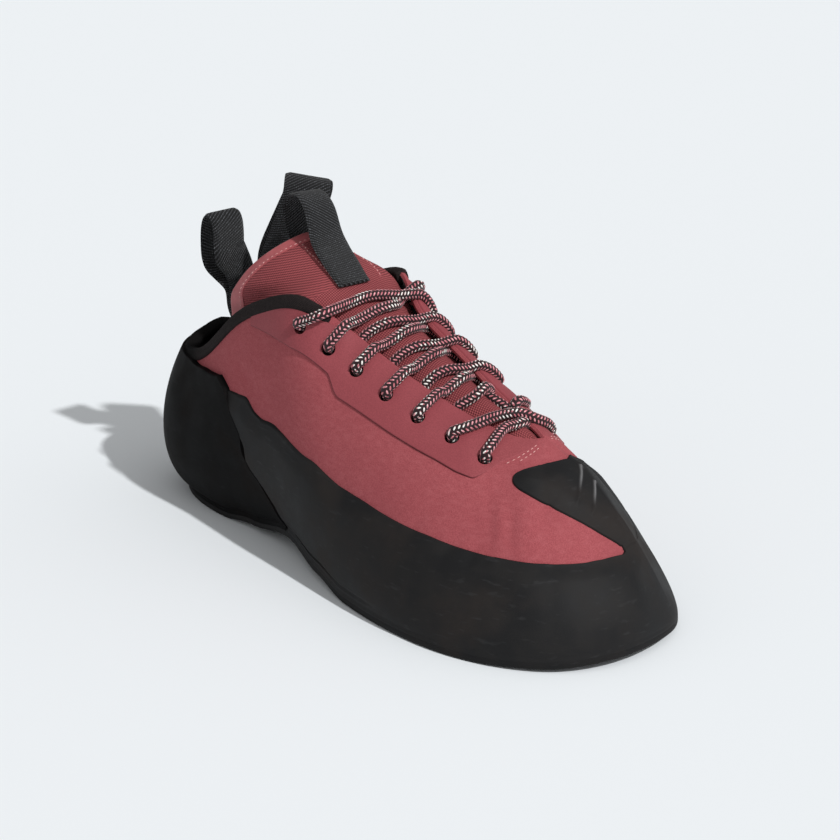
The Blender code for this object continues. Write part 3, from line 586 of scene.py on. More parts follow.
def tubeFaces(rows, columns):  # a grid whose last column joins its first
    number = np.arange(rows * columns).reshape(rows, columns)
    return np.concatenate([gridFaces(rows, columns), stripFaces(number[:, -1], number[:, 0])])


def clothGrid(across, along):  # metres across and along for each point of a grid
    return np.stack(np.broadcast_arrays(across, along[:, None]), -1)


def addObject(name, data):
    made = bpy.data.objects.new(name, data)
    bpy.context.scene.collection.objects.link(made)
    return made


def addPiece(name, points, quads, finish, nodes=(), cloth=None, marks=None, backs=None,
             weld=1e-6, sharp=0.9):
    # backs: (finish, mask of faces) for a second finish; marks: point values that the finish reads
    mesh = bpy.data.meshes.new(name)
    placed = np.asarray(points, float).reshape(-1, 3) - middle
    quads = np.asarray(quads, np.int32)
    mesh.vertices.add(len(placed))
    mesh.vertices.foreach_set("co", placed.ravel())
    mesh.loops.add(quads.size)
    mesh.loops.foreach_set("vertex_index", quads.ravel())
    mesh.polygons.add(len(quads))
    mesh.polygons.foreach_set("loop_start", np.arange(len(quads), dtype=np.int32) * 4)
    mesh.update(calc_edges=True)
    for key, values in (marks or {}).items():
        mark = mesh.attributes.new(key, "FLOAT", "POINT")
        mark.data.foreach_set("value", np.ravel(values).astype(np.float32))
    if cloth is not None:
        clothMap = mesh.uv_layers.new(name="cloth")
        clothMap.data.foreach_set("uv", np.asarray(cloth, np.float32).reshape(-1, 2)[quads.ravel()].ravel())
    mesh.materials.append(finish)
    if backs:
        mesh.materials.append(backs[0])
        mesh.polygons.foreach_set("material_index", np.asarray(backs[1], np.int32))
    work = bmesh.new()
    work.from_mesh(mesh)
    bmesh.ops.remove_doubles(work, verts=work.verts, dist=weld)
    bmesh.ops.dissolve_degenerate(work, edges=work.edges, dist=1e-7)
    bmesh.ops.recalc_face_normals(work, faces=work.faces)
    work.to_mesh(mesh)
    work.free()
    mesh.validate()
    mesh.shade_smooth()
    mesh.set_sharp_from_angle(angle=sharp)
    made = addObject(name, mesh)
    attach(made, "root")
    if nodes:
        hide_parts(*nodes)
    return made


def slab(outer, inner, meets=None):  # closed sheet between two grids of points
    rows, columns = outer.shape[:2]
    count = rows * columns
    number = np.arange(count).reshape(rows, columns)
    walls = stripFaces(number[:, -1], number[:, -1] + count)
    if meets is not None:  # no wall where the sheet runs on over the ridge
        walls = walls[~(meets[:-1] & meets[1:])]
    faces = [gridFaces(rows, columns), gridFaces(rows, columns, count, flip=True), walls]
    for line in (number[:, 0], number[0], number[-1]):
        faces.append(stripFaces(line, line + count))
    return np.concatenate([outer.reshape(-1, 3), inner.reshape(-1, 3)]), np.concatenate(faces)


def distances(points, line):  # distance of each point to the nearest of a dense line of points
    tree = KDTree(len(line))
    for number, point in enumerate(line):
        tree.insert(point, number)
    tree.balance()
    found = np.array([tree.find(point)[2] for point in np.asarray(points).reshape(-1, 3)])
    return found.reshape(np.shape(points)[:-1])


def runLength(points):
    return np.concatenate([[0], np.cumsum(np.linalg.norm(np.diff(points, axis=0), axis=1))])


def resample(points, run, where):  # points at given lengths along a line
    return np.column_stack([np.interp(where, run, column) for column in points.T])


def denseLine(points, spacing=0.0003):
    points = np.asarray(points, float)
    run = runLength(points)
    return resample(points, run, np.linspace(0, run[-1], max(2, int(run[-1] / spacing))))


def smoothPath(points, steps):
    points = np.asarray(points, float)
    bends = splineBends(points, False)
    return splineAt(points, bends, np.linspace(0, len(points) - 1, (len(points) - 1) * steps + 1))


def spokes(turns, side, up):  # arms round each point of a line
    return np.cos(turns)[:, None] * side[:, None] + np.sin(turns)[:, None] * up[:, None]


def softened(values, reach):  # a line of values with its corners rounded over a few neighbours
    kernel = np.hanning(2 * reach + 3)[1:-1]
    padded = np.concatenate([np.full(reach, values[0]), values, np.full(reach, values[-1])])
    return np.convolve(padded, kernel / kernel.sum(), "valid")


# Layers on the skin: thin skived edges in rubber, and a hem past the sole as shares of its fall and mm out
layer = {
    "skivedEdge": 0.36, "skivedReach": 8 * mm, "bury": 0.35 * mm,
    "edgeStep": 0.06 * mm, "edgeSlack": 0.04 * mm,
    "hem": [(1.0, -0.5), (0.93, -0.05), (0.7, 0.15), (0.35, 0.1)],
}


def overlayPiece(name, u, v, edges, height, roll, finish, node, skived=(), skirt=0,
                 marks=None, meets=None):
    # swells from its edges, given as lines of points on the skin, to its full height;
    # it thins towards its skived edges, and a skirt hangs down past the foot of the skin
    points = surface(u, v)
    bury = layer["bury"]
    if len(skived):
        inFrom = distances(points, np.vstack([denseLine(line, mm) for line in skived]))
        thin = layer["skivedEdge"]
        height = height * (thin + (1 - thin) * ease(inFrom / layer["skivedReach"]))
    near = distances(points, np.vstack([denseLine(line, layer["edgeStep"]) for line in edges]))
    near = np.maximum(near - layer["edgeSlack"], 0)
    swell = np.sqrt(np.clip(1 - (1 - np.clip(near / roll, 0, 1)) ** 2, 0, 1))
    outer = skin(u, v, (height + bury) * swell - bury)
    inner = skin(u, v, -bury)
    if skirt:
        flare = np.concatenate([outward(u[:, 0]), np.zeros((len(u), 1))], -1)
        falls = [np.array([0, 0, fall * skirt]) for fall, _ in layer["hem"]]
        hems = [outer[:, 0] + out * mm * flare - fall for fall, (_, out) in zip(falls, layer["hem"])]
        outer = np.concatenate([np.stack(hems, 1), outer], 1)
        inner = np.concatenate([inner[:, :1] - fall for fall in falls] + [inner], 1)
        near = np.concatenate([np.repeat(near[:, :1], len(falls), 1), near], 1)
    points, faces = slab(outer, inner, meets)
    # distance from the edges in mm, which the finishes read for painted shade along the edges
    stored = {"edgeShadeGap": np.concatenate([near.ravel(), np.zeros(near.size)]) / mm}
    for key, values in (marks or {}).items():
        stored[key] = np.tile(values.ravel(), 2)
    return addPiece(name, points, faces, finish, (node,), marks=stored, weld=2e-6)


def columnGrid(footU, topU, footV, topV, lines):  # lines lie closer near both ends of a column
    even = np.linspace(0, 1, lines + 1)
    share = 0.5 * (1 - np.cos(np.pi * even)) / 2 + 0.5 * even
    u = footU[:, None] + share * (topU - footU)[:, None]
    v = footV[:, None] + share * (topV - footV)[:, None]
    return u, v


# Rubber: rand, heel cup and toe patch
rand = {
    "thickness": 2.15 * mm, "roll": 0.55 * mm, "lines": 34, "step": 0.05, "waver": 0.09, "skirt": 2.2 * mm,
    "seamFoot": 4.15, "seamTop": 2.72, "straight": 16 / 3, "bendReach": 1.2,
    # share up the seam, how far it bends to the toe in sections
    "seamBend": [
        (0, 0), (0.22, 0.13), (0.36, 0.10), (0.45, 0.0), (0.54, -0.02), (0.63, 0.10), (0.76, 0.04),
        (0.9, 0.07), (1, 0),
    ],
    # share, waves and start of each waver of the hand-cut edge
    "waves": [(1, 5.1, 0), (0.7, 9.7, 1.0), (0.4, 15.3, 2.0)],
    # a groove over the sole at the waist: the sections over which it starts and stops, and where it runs
    "groove": ((3.9, 0.5), (6.2, 0.8)),
    "grooveAt": 3.4 * mm, "grooveWide": 0.55 * mm, "grooveDeep": 0.9 * mm,
    # section from the heel, distance up from the sole in mm
    "lateral": [
        (2.8, 51.5), (3.45, 51), (3.56, 46), (3.83, 42), (4.65, 40.4), (5.5, 39.4), (6.2, 38.3),
        (7.3, 35.8), (8.15, 34.6), (9, 33.0), (9.4, 32.6), (9.9, 32.4), (10.4, 31.7), (11.25, 31.5),
        (11.6, 31.8), (12.1, 32.0), (12.4, 31.6), (13, 30.5),
    ],
    "medial": [
        (2.8, 51.5), (3.45, 51), (3.56, 46), (3.83, 42), (4.65, 40), (5.5, 38), (6.2, 36), (7.3, 33),
        (8.15, 31.5), (9, 30.5), (10.2, 29.5), (11.2, 29), (12.5, 29.5), (13, 30.5),
    ],
}
heelCup = {
    "thickness": 2.3 * mm, "roll": 0.7 * mm, "lines": 46, "columns": 150, "bendPower": 4,
    # section, distance under the top line in mm
    "edge": [(0, 0.6), (1.2, 0.8), (1.7, 3.0), (2.2, 8.8), (2.72, 18.6)],
}
toePatch = {
    "thickness": 2.15 * mm, "roll": 0.55 * mm, "lines": 40, "step": 0.03, "middle": 13.0, "crowding": 1.5,
    # where it runs under the rand: share under the edge, sections on the way there, drop and its reach
    "tuck": 0.035, "tuckRun": 0.12, "tuckDrop": 0.12 * mm, "tuckReach": 3 * mm, "clear": 0.004,
    # edges as section from the heel and share of the section; the upper edges meet on the vamp's ridge,
    # the lower edge leaves the lens open and then runs under the rand
    "upper": [
        (9.117, 0.755), (9.122, 0.764), (9.135, 0.772), (9.187, 0.785), (9.264, 0.795), (9.346, 0.805),
        (9.528, 0.821), (9.739, 0.838), (9.856, 0.845), (9.985, 0.852), (10.091, 0.868), (10.208, 0.891),
        (10.325, 0.914), (10.46, 0.944), (10.607, 0.979), (10.69, 1.0),
    ],
    "lower": [
        (9.117, 0.751), (9.124, 0.742), (9.158, 0.730), (9.246, 0.715), (9.352, 0.704), (9.575, 0.687),
        (9.815, 0.673), (9.944, 0.666), (10.067, 0.662), (10.19, 0.662), (10.437, 0.667), (10.695, 0.673),
        (10.971, 0.682), (11.252, 0.694), (11.405, 0.703), (11.563, 0.716), (11.721, 0.730),
        (11.886, 0.747), (12.03, 0.755), (12.114, 0.751), (12.17, 0.737), (12.22, 0.712),
    ],
    "inner": [
        (8.3, 0.40), (8.42, 0.455), (8.55, 0.515), (8.7, 0.568), (8.95, 0.632), (9.2, 0.680),
        (9.5, 0.725), (9.8, 0.775), (10.1, 0.828), (10.28, 0.866), (10.46, 0.912), (10.69, 1.0),
    ],
    # moulded ribs as lines of sections round the shoe and shares; a painted highlight runs along them, on the
    # outer side only near their upper ends
    "ribs": [
        [(15.156, 0.936), (14.98, 1.0), (10.86, 0.872), (10.683, 0.742)],
        [(14.723, 0.942), (14.55, 1.0), (11.26, 0.877), (11.116, 0.759)],
    ],
    "ribHeight": 0.55 * mm, "ribWide": 0.6 * mm, "ribStep": 4 * mm,
    "ribHighlightWide": 0.4 * mm, "ribHighlightOver": (0.80, 0.12),
}


def randEdge(u):  # distance of the rand's top edge from the sole, in mm, hand cut and a little wavy
    edge = np.where(signed(u) >= 0, lookUp(fold(u), rand["lateral"]), lookUp(fold(u), rand["medial"]))
    waves = sum(share * np.sin(u * turns + start) for share, turns, start in rand["waves"])
    return edge + rand["waver"] * waves


def randTop(u):
    return shareAt(u, randEdge(u) * mm, False)


def bendSeam(u, share, close):  # bends the columns close to the seams, the same way on both sides
    bend = lookUp(share, rand["seamBend"]) * close[:, None]
    return u + np.where(signed(u) >= 0, bend, -bend)


def roundToe(outer, inner):  # one line over the toe from the values of both sides
    return np.concatenate([outer, inner[-2::-1]])


def makeRand():
    tops = np.arange(rand["seamTop"], ringSize / 2 + tinyStep, rand["step"])
    lean = np.clip((rand["straight"] - tops) / (rand["straight"] - rand["seamTop"]), 0, 1)
    feet = tops + lean * (rand["seamFoot"] - rand["seamTop"])
    topU = roundToe(tops, medial(tops))
    footU = roundToe(feet, medial(feet))
    heights = softened(randEdge(topU), 2)
    topV = shareAt(topU, heights * mm, False)
    u, v = columnGrid(footU, topU, np.zeros(len(topU)), topV, rand["lines"])
    u = bendSeam(u, v / topV[:, None], 1 - ramp(fold(topU), rand["seamTop"], rand["bendReach"]))
    points = surface(u, v)
    # the toe patch runs on from the rest of the edge
    free = (topU < toePatch["lower"][-1][0]) | (topU > medial(toePatch["inner"][0][0]))
    half = len(topU) // 2
    edges = [points[:half][free[:half]][:, -1], points[half:][free[half:]][:, -1], points[0], points[-1]]
    up = v / topV[:, None] * heights[:, None] * mm
    groove = np.exp(-((up - rand["grooveAt"]) / rand["grooveWide"]) ** 2)
    height = rand["thickness"] - rand["grooveDeep"] * within(fold(u), *rand["groove"]) * groove
    overlayPiece("rubberRand", u, v, edges, height, rand["roll"], rubber, "rand", edges[:2],
                 rand["skirt"])


def makeHeelCup():
    tops = np.linspace(-rand["seamTop"], rand["seamTop"], heelCup["columns"] + 1)
    feet = tops * rand["seamFoot"] / rand["seamTop"]
    drops = softened(lookUp(np.abs(tops), heelCup["edge"]), 4)
    topV = shareAt(tops, drops * mm, True)
    u, v = columnGrid(feet, tops, np.zeros(len(tops)), topV, heelCup["lines"])
    u = bendSeam(u, v / topV[:, None], (np.abs(tops) / rand["seamTop"]) ** heelCup["bendPower"])
    points = surface(u, v)
    edges = [points[:, -1], points[0], points[-1]]
    overlayPiece("heelCup", u, v, edges, heelCup["thickness"], heelCup["roll"], heelRubber,
                 "heel_cup", skirt=rand["skirt"])


def patchColumns(edge, side):
    first, ridge = edge[0][0], edge[-1][0]
    step, stop = toePatch["step"], toePatch["middle"]
    share = np.linspace(0, 1, int(round((ridge - first) / step)) + 1)
    before = first + (ridge - first) * share ** toePatch["crowding"]
    after = np.linspace(ridge, stop, int(round((stop - ridge) / step)) + 1)[1:]
    k = np.concatenate([before, after])
    high = np.concatenate([lookUp(before, edge), np.ones(len(after))])
    return k, randTop(side(k)) - toePatch["tuck"], high


def makeToePatch():
    outerK, outerLow, outerHigh = patchColumns(toePatch["upper"], lateral)
    innerK, innerLow, innerHigh = patchColumns(toePatch["inner"], medial)
    under = ramp(outerK, toePatch["lower"][-1][0], toePatch["tuckRun"])
    outerLow = (1 - under) * lookUp(outerK, toePatch["lower"]) + under * outerLow
    columns = roundToe(outerK, medial(innerK))
    low = roundToe(outerLow, innerLow)
    high = roundToe(outerHigh, innerHigh)
    u, v = columnGrid(columns, columns, low, high, toePatch["lines"])
    points = surface(u, v)
    ridge = toePatch["upper"][-1][0]
    meets = (columns > ridge - tinyStep) & (columns < medial(ridge - tinyStep))
    free = (low > randTop(columns) + toePatch["clear"]) & (columns < ringSize / 2)
    edges = [points[free][:, 0], points[columns < ridge + tinyStep][:, -1],
             points[columns > medial(ridge + tinyStep)][:, -1], points[0]]
    height = np.full(u.shape, toePatch["thickness"])
    ribHighlight = np.zeros(u.shape)
    for rib in toePatch["ribs"]:
        line = denseLine(np.vstack([surface(*np.array(corner)) for corner in rib]), toePatch["ribStep"])
        away = distances(points, denseLine(smoothPath(line, 4)))
        height += toePatch["ribHeight"] * np.exp(-(away / toePatch["ribWide"]) ** 2)
        # painted highlight along the rib, on the outer side only near its upper end
        highlightShare = np.where(u < ringSize / 2, ramp(v, *toePatch["ribHighlightOver"]), 1.0)
        ribHighlight += highlightShare * np.exp(-(away / toePatch["ribHighlightWide"]) ** 2)
    rim = (v - randTop(columns)[:, None]) * runsAt(columns)[1][:, -1:]
    height -= toePatch["tuckDrop"] * (1 - ease(rim / toePatch["tuckReach"]))
    overlayPiece("toePatch", u, v, edges + [points[-1]], height, toePatch["roll"], rubber,
                 "toe_patch", edges, marks={"ribHighlight": ribHighlight}, meets=meets)


makeRand()
makeHeelCup()
makeToePatch()
print("rubber made")


# Suede upper with its lining, punched for the lace
upper = {"columns": 416, "lines": 66, "rimRoll": 0.6 * mm}
eyestay = {
    "thickness": 0.75 * mm, "roll": 0.45 * mm, "lines": 40, "step": 0.03,
    "fadeOver": (8.25, 0.5), "fade": 0.8,  # towards the toe it thins out into the suede
    # section from the heel, distance of the upper and lower edge under the top line in mm
    "edge": [
        (3.55, 3.0, 7.4), (3.85, 3.0, 10.2), (4.15, 3.0, 13.2), (4.45, 3.0, 16.2), (4.75, 3.0, 18.6),
        (5.05, 3.0, 19.6), (5.35, 3.0, 20.6), (5.66, 3.0, 21.6), (5.74, 1.6, 25.6), (5.83, 0.4, 27.6),
        (6.17, 0.4, 27.3), (6.5, 0.4, 26.9), (6.83, 0.4, 26.6), (7.17, 0.4, 26.3), (7.5, 0.4, 26.3),
        (7.83, 0.4, 26.3), (8.17, 0.4, 26.9), (8.45, 0.4, 26.2), (8.65, 0.4, 21), (8.9, 0.4, 14.5),
        (9.1, 0.4, 11.5), (9.3, 0.4, 9), (9.55, 0.4, 6.3), (9.8, 0.4, 4),
    ],
}


def makePunches():
    sides = eyelets["sides"]
    turns = np.arange(sides) * 2 * np.pi / sides
    up = normalAt(eyeletU, eyeletV)
    side = unit(np.cross(up, np.array([1.0, 0.0, 0.0])))
    work = bmesh.new()
    for spot, axis, ring in zip(eyeletPoints - middle, up, spokes(turns, side, np.cross(up, side))):
        ends = []
        for reach in eyelets["punch"]:
            ends.append([work.verts.new(spot + reach * axis + eyelets["radius"] * arm) for arm in ring])
        for i in range(sides):
            j = (i + 1) % sides
            work.faces.new((ends[0][i], ends[0][j], ends[1][j], ends[1][i]))
        work.faces.new(ends[0][::-1])
        work.faces.new(ends[1])
    bmesh.ops.recalc_face_normals(work, faces=work.faces)
    mesh = bpy.data.meshes.new("eyeletPunches")
    work.to_mesh(mesh)
    work.free()
    return addObject("eyeletPunches", mesh)


def punch(piece, punches):
    cut = piece.modifiers.new("eyelets", "BOOLEAN")
    cut.operation = "DIFFERENCE"
    cut.solver = "EXACT"
    cut.object = punches
    bpy.context.view_layer.update()
    ready = piece.evaluated_get(bpy.context.evaluated_depsgraph_get())
    mesh = bpy.data.meshes.new_from_object(ready)
    piece.modifiers.clear()
    old = piece.data
    piece.data = mesh
    bpy.data.meshes.remove(old)
    mesh.name = piece.name


def makeUpper():
    rows = upper["columns"]
    columns = np.arange(rows) * ringSize / rows
    u, v = np.meshgrid(columns, np.linspace(0, 1, upper["lines"] + 1), indexing="ij")
    outer = skin(u, v, 0)
    inner = skin(u, v, -shoe["wall"], relief=False)
    rim = (outer[:, -1] + inner[:, -1]) / 2 + upper["rimRoll"] * unit(outer[:, -1] - outer[:, -3])
    size = u.size
    number = np.arange(size).reshape(u.shape)
    rimNumber = 2 * size + np.arange(rows)
    opening = np.flatnonzero(fold(columns) < throatEnd + tinyStep)
    opening = np.concatenate([opening[opening > rows / 2], opening[opening <= rows / 2]])  # in one run
    foot = np.append(number[:, 0], number[0, 0])
    top = number[opening, -1]
    faces = [gridFaces(rows, u.shape[1], 0, True), gridFaces(rows, u.shape[1], size, True, True),
             stripFaces(foot, foot + size), stripFaces(top, rimNumber[opening]),
             stripFaces(rimNumber[opening], top + size)]
    inside = np.concatenate([np.full(len(part), part is faces[1]) for part in faces])
    points = np.vstack([outer.reshape(-1, 3), inner.reshape(-1, 3), rim])
    return addPiece("suedeUpper", points, np.concatenate(faces), suede, ("upper",),
                    backs=(lining, inside))


def makeEyestay(name, side, node):
    places, upperEdge, lowerEdge = np.array(eyestay["edge"]).T
    k = np.arange(places[0], places[-1] + 0.01, eyestay["step"])
    columns = side(k)
    low, high = [shareAt(columns, softened(np.interp(k, places, edge), 2) * mm, True)
                 for edge in (lowerEdge, upperEdge)]
    u, v = columnGrid(columns, columns, low, high, eyestay["lines"])
    points = surface(u, v)
    edges = [points[:, 0], points[:, -1], points[0], points[-1]]
    front = np.broadcast_to(ramp(k, *eyestay["fadeOver"])[:, None], u.shape)
    height = eyestay["thickness"] * (1 - eyestay["fade"] * front)
    # the painted edge shade runs only along the lower edge
    marks = {"front": front, "edgeShadeGap": distances(points, denseLine(points[:, 0])) / mm}
    return overlayPiece(name, u, v, edges, height, eyestay["roll"], overlay, node,
                        marks=marks)


punches = makePunches()
punch(makeUpper(), punches)
punch(makeEyestay("eyestayLateral", lateral, "eyestay_lateral"), punches)
punch(makeEyestay("eyestayMedial", medial, "eyestay_medial"), punches)
bpy.data.objects.remove(punches, do_unlink=True)
print("upper and eyestays made")


# Sole and insole
sole = {
    "columns": 416, "across": 36, "under": 0.0004,
    # mm out, share of height
    "edge": [(1.6, 1.0), (2.1, 0.80), (2.35, 0.50), (2.35, 0.28), (1.9, 0.06), (0.4, 0.0)],
    "board": 2.2 * mm, "boardInset": -2.7 * mm, "boardBevel": 0.5 * mm,
}


def plate(rings):  # closed plate through rings round the shoe, filled across from side to side at both ends
    rings = np.array(rings)
    count = rings.shape[1]
    points = [rings.transpose(1, 0, 2).reshape(-1, 3)]
    faces = [gridFaces(count, len(rings), 0, True)]
    start = count * len(rings)
    half = np.arange(count // 2 + 1)
    share = np.linspace(0, 1, sole["across"] + 1)[None, :, None]
    for ring in (rings[0], rings[-1]):
        near, far = ring[half], ring[-half]
        across = near[:, None] + share * (far - near)[:, None]
        lift = ring[:, 2] - soleBottom(ring[:, 0])
        level = (lift[half] + lift[-half]) / 2
        across[:, 1:-1, 2] = soleBottom(across[:, 1:-1, 0]) + level[:, None]
        points.append(across.reshape(-1, 3))
        faces.append(gridFaces(*across.shape[:2], start))
        start += across.shape[0] * across.shape[1]
    return np.vstack(points), np.concatenate(faces)


def soleRing(out, lift):
    u = np.arange(sole["columns"]) * ringSize / sole["columns"]
    row = sectionAt(u)
    return np.column_stack([row[:, :2] + out * outward(u), soleBottom(row[:, 0]) + lift])


def makeSole():
    out, share = smoothPath(sole["edge"], 3).T
    height = share * (shoe["sole"] - sole["under"])
    points, faces = plate([soleRing(o * mm, h) for o, h in zip(out, height)])
    # the sole gets no painted edge shade
    marks = {"edgeShadeGap": np.full(len(points), 9.0)}  # far from any edge
    addPiece("rubberSole", points, faces, soleRubber, ("outsole",), marks=marks, sharp=1.2)
    inset, bevel = sole["boardInset"], sole["boardBevel"]
    low = shoe["sole"]
    high = low + sole["board"]
    rings = [soleRing(inset, low), soleRing(inset, high - bevel), soleRing(inset - bevel, high)]
    points, faces = plate(rings)
    addPiece("insoleBoard", points, faces, board, ("insole",))


makeSole()
print("sole made")

# Tape folded over the collar
collarTape = {
    "lateralEnd": 17 / 3, "medialEnd": 5.0, "step": 1 / 14, "endRound": 5.0 * mm, "endWidth": 0.25,
    "upFrom": 0.96,  # share from which the way up over the rim is taken
    # painted shade on the tape round the heel
    "heelShadeOver": (1.5, 0.6),  # sections from the heel, and over how many the dark ends
    # distance out of the skin, distance past the top line, in mm
    "profile": [
        (-0.3, -4.1), (0.7, -4.15), (1.0, -3.9), (1.15, -2.8), (1.25, -1.6), (1.3, -0.4), (1.15, 0.6),
        (0.5, 1.05), (-1.0, 1.15), (-2.5, 1.05), (-3.15, 0.6), (-3.35, -0.5), (-3.4, -2.0), (-3.3, -3.6),
        (-3.1, -4.7), (-2.4, -5.1), (-1.7, -5.0), (-1.0, -4.2),
    ],
}


def makeCollarTape():
    columns = np.arange(-collarTape["medialEnd"], collarTape["lateralEnd"] + 0.01, collarTape["step"])
    profile = np.array(collarTape["profile"]) * mm
    out, wholePast = profile.T
    along = runLength(surface(columns, 1.0))
    rings = []
    for u, toStart, toEnd in zip(columns, along, along[-1] - along):
        near = np.clip(min(toStart, toEnd) / collarTape["endRound"], 0, 1)
        width = collarTape["endWidth"] + (1 - collarTape["endWidth"]) * math.sqrt(1 - (1 - near) ** 2)
        past = np.where(wholePast < 0, wholePast * width, wholePast)
        shares = shareAt(u, np.maximum(-past, 0), True)
        upward = unit(surface(u, 1.0) - surface(u, collarTape["upFrom"]))
        rings.append(skin(u, shares, out, False) + np.maximum(past, 0)[:, None] * upward)
    rings = np.array(rings)
    for end in (0, -1):  # close the ends on their own middle
        rings[end] = rings[end].mean(0)
    # painted shade: full at the heel, fading out over the next sections
    heel = 1 - ramp(np.abs(columns), *collarTape["heelShadeOver"])
    addPiece("collarTape", rings, tubeFaces(*rings.shape[:2]), tape, ("collar_binding",),
             cloth=clothGrid(runLength(profile), along),
             marks={"heel": np.broadcast_to(heel[:, None], rings.shape[:2])})


makeCollarTape()
print("collar tape made")

# Mesh tongue with its pale edge tape
tongue = {
    "wall": 1.8 * mm, "front": 9.75, "top": 2.20, "rows": 180, "overColumns": 72, "smoothing": 12,
    "tuck": (13, 10, 7, 4, 2, 1),  # how far its sides run down inside the upper, in mm
    # depth under the skin, and the sections over which it changes along the throat and sinks under the lace
    "depth": 4.4 * mm, "throatDepth": 2.8 * mm, "throatOver": (5.7, 0.5),
    "sink": 2.3 * mm, "sinkOver": ((5.2, 0.8), (8.6, 0.6)),
    "tapeStart": 2.64, "tapeLift": 0.4 * mm, "tapeStitch": (2, 4),  # rows and columns in from its edges
    # the seam of the side panels: section and share across; the panels end at sideEnd
    "seam": [(2.2, 0.43), (3.6, 0.37), (5.0, 0.30), (9.0, 0.22)], "sideEnd": 5.0, "seamFade": 0.6,
    "seamRise": 0.35 * mm, "seamWide": 0.7 * mm, "seamGone": 9 * mm, "seamSmoothing": 6,
    "stitchLift": 0.30 * mm,
    # the loose outer side swells back near the top: how far and where to, over which sections and shares
    "bulge": 7.0 * mm, "bulgeWay": (-0.67, -0.74, 0.0),
    "bulgeTop": (2.6, 1.6), "bulgeOver": ((0.05, 0.12), (0.20, 0.28)),
    # the tape's rounded edge: mm past the mesh and height, and the depths of its two sewn edges
    "tapeRound": [(0.5, 0.2), (0.85, -0.5), (0.85, -1.3), (0.5, -2.0)], "tapeFoot": (0.6 * mm, 1.2 * mm),
    # section where its sides tuck in, crown x, y and z, half width of the crown, in mm
    "arches": [
        (9.55, 187, 7.0, 62.0, 1), (9.0, 182, 5.0, 65.8, 1.5), (8.0, 161.5, 1.8, 73.6, 2.5),
        (7.0, 139.5, -0.5, 83.0, 3.5), (6.0, 118, -1.5, 93.6, 6), (5.3, 105, 0.0, 101.0, 13),
        (4.5, 96, 1.0, 106.3, 18), (3.6, 87, 0.5, 110.5, 18), (2.8, 79, -0.5, 113.2, 18),
        (2.5, 76, -0.5, 113.8, 18), (2.2, 72, -1.0, 114.6, 18),
    ],
}


def tongueDepth(k):  # under the wall, and deeper along the throat where the lace runs under the edges
    base = tongue["depth"] + ramp(k, *tongue["throatOver"]) * (tongue["throatDepth"] - tongue["depth"])
    return base + within(k, *tongue["sinkOver"]) * tongue["sink"]


def tongueArch(k, w):
    # the arch over the foot at section k, from its outer edge at w 0 over the crown to its inner edge at w 1
    table = np.array(tongue["arches"])[::-1]
    crownX, crownY, crownZ, half = [np.interp(k, table[:, 0], column) for column in table[:, 1:].T * mm]
    line = np.array([k, ringSize - k])
    ends = skin(line, shareAt(line, tongue["tuck"][-1] * mm, True), -tongueDepth(k), False)
    first = (8 * np.array([crownX, crownY, crownZ]) - ends[0] - ends[1]) / 6
    second = first + np.array([0, half, 0])
    first = first - np.array([0, half, 0])
    w = np.asarray(w, float)[..., None]
    bulge = (1 - ramp(k, *tongue["bulgeTop"])) * within(w, *tongue["bulgeOver"])
    arch = bezier(w, ends[0], first, second, ends[1])
    return arch + tongue["bulge"] * bulge * np.array(tongue["bulgeWay"])


def tongueLine(k):  # the arch with its tucked sides
    sides = []
    for u in (k, ringSize - k):
        shares = shareAt(u, np.array(tongue["tuck"][:-1]) * mm, True)
        sides.append(skin(u, shares, -tongueDepth(k), False))
    return np.vstack([sides[0], tongueArch(k, np.linspace(0, 1, tongue["overColumns"] + 1)), sides[1][::-1]])


def smoothRows(grid, passes):  # evens the grid along the shoe, ends kept
    for _ in range(passes):
        grid[1:-1] = 0.5 * grid[1:-1] + 0.25 * (grid[:-2] + grid[2:])
    return grid


def clothRuns(grid):
    across = np.cumsum(np.linalg.norm(np.diff(grid, axis=1, prepend=grid[:, :1]), axis=-1), axis=1)
    along = np.cumsum(np.linalg.norm(np.diff(grid, axis=0, prepend=grid[:1]), axis=-1), axis=0)
    centre = slice(grid.shape[1] // 2, grid.shape[1] // 2 + 1)
    return np.stack([across - across[:, centre], np.broadcast_to(along[:, centre], across.shape)], -1)


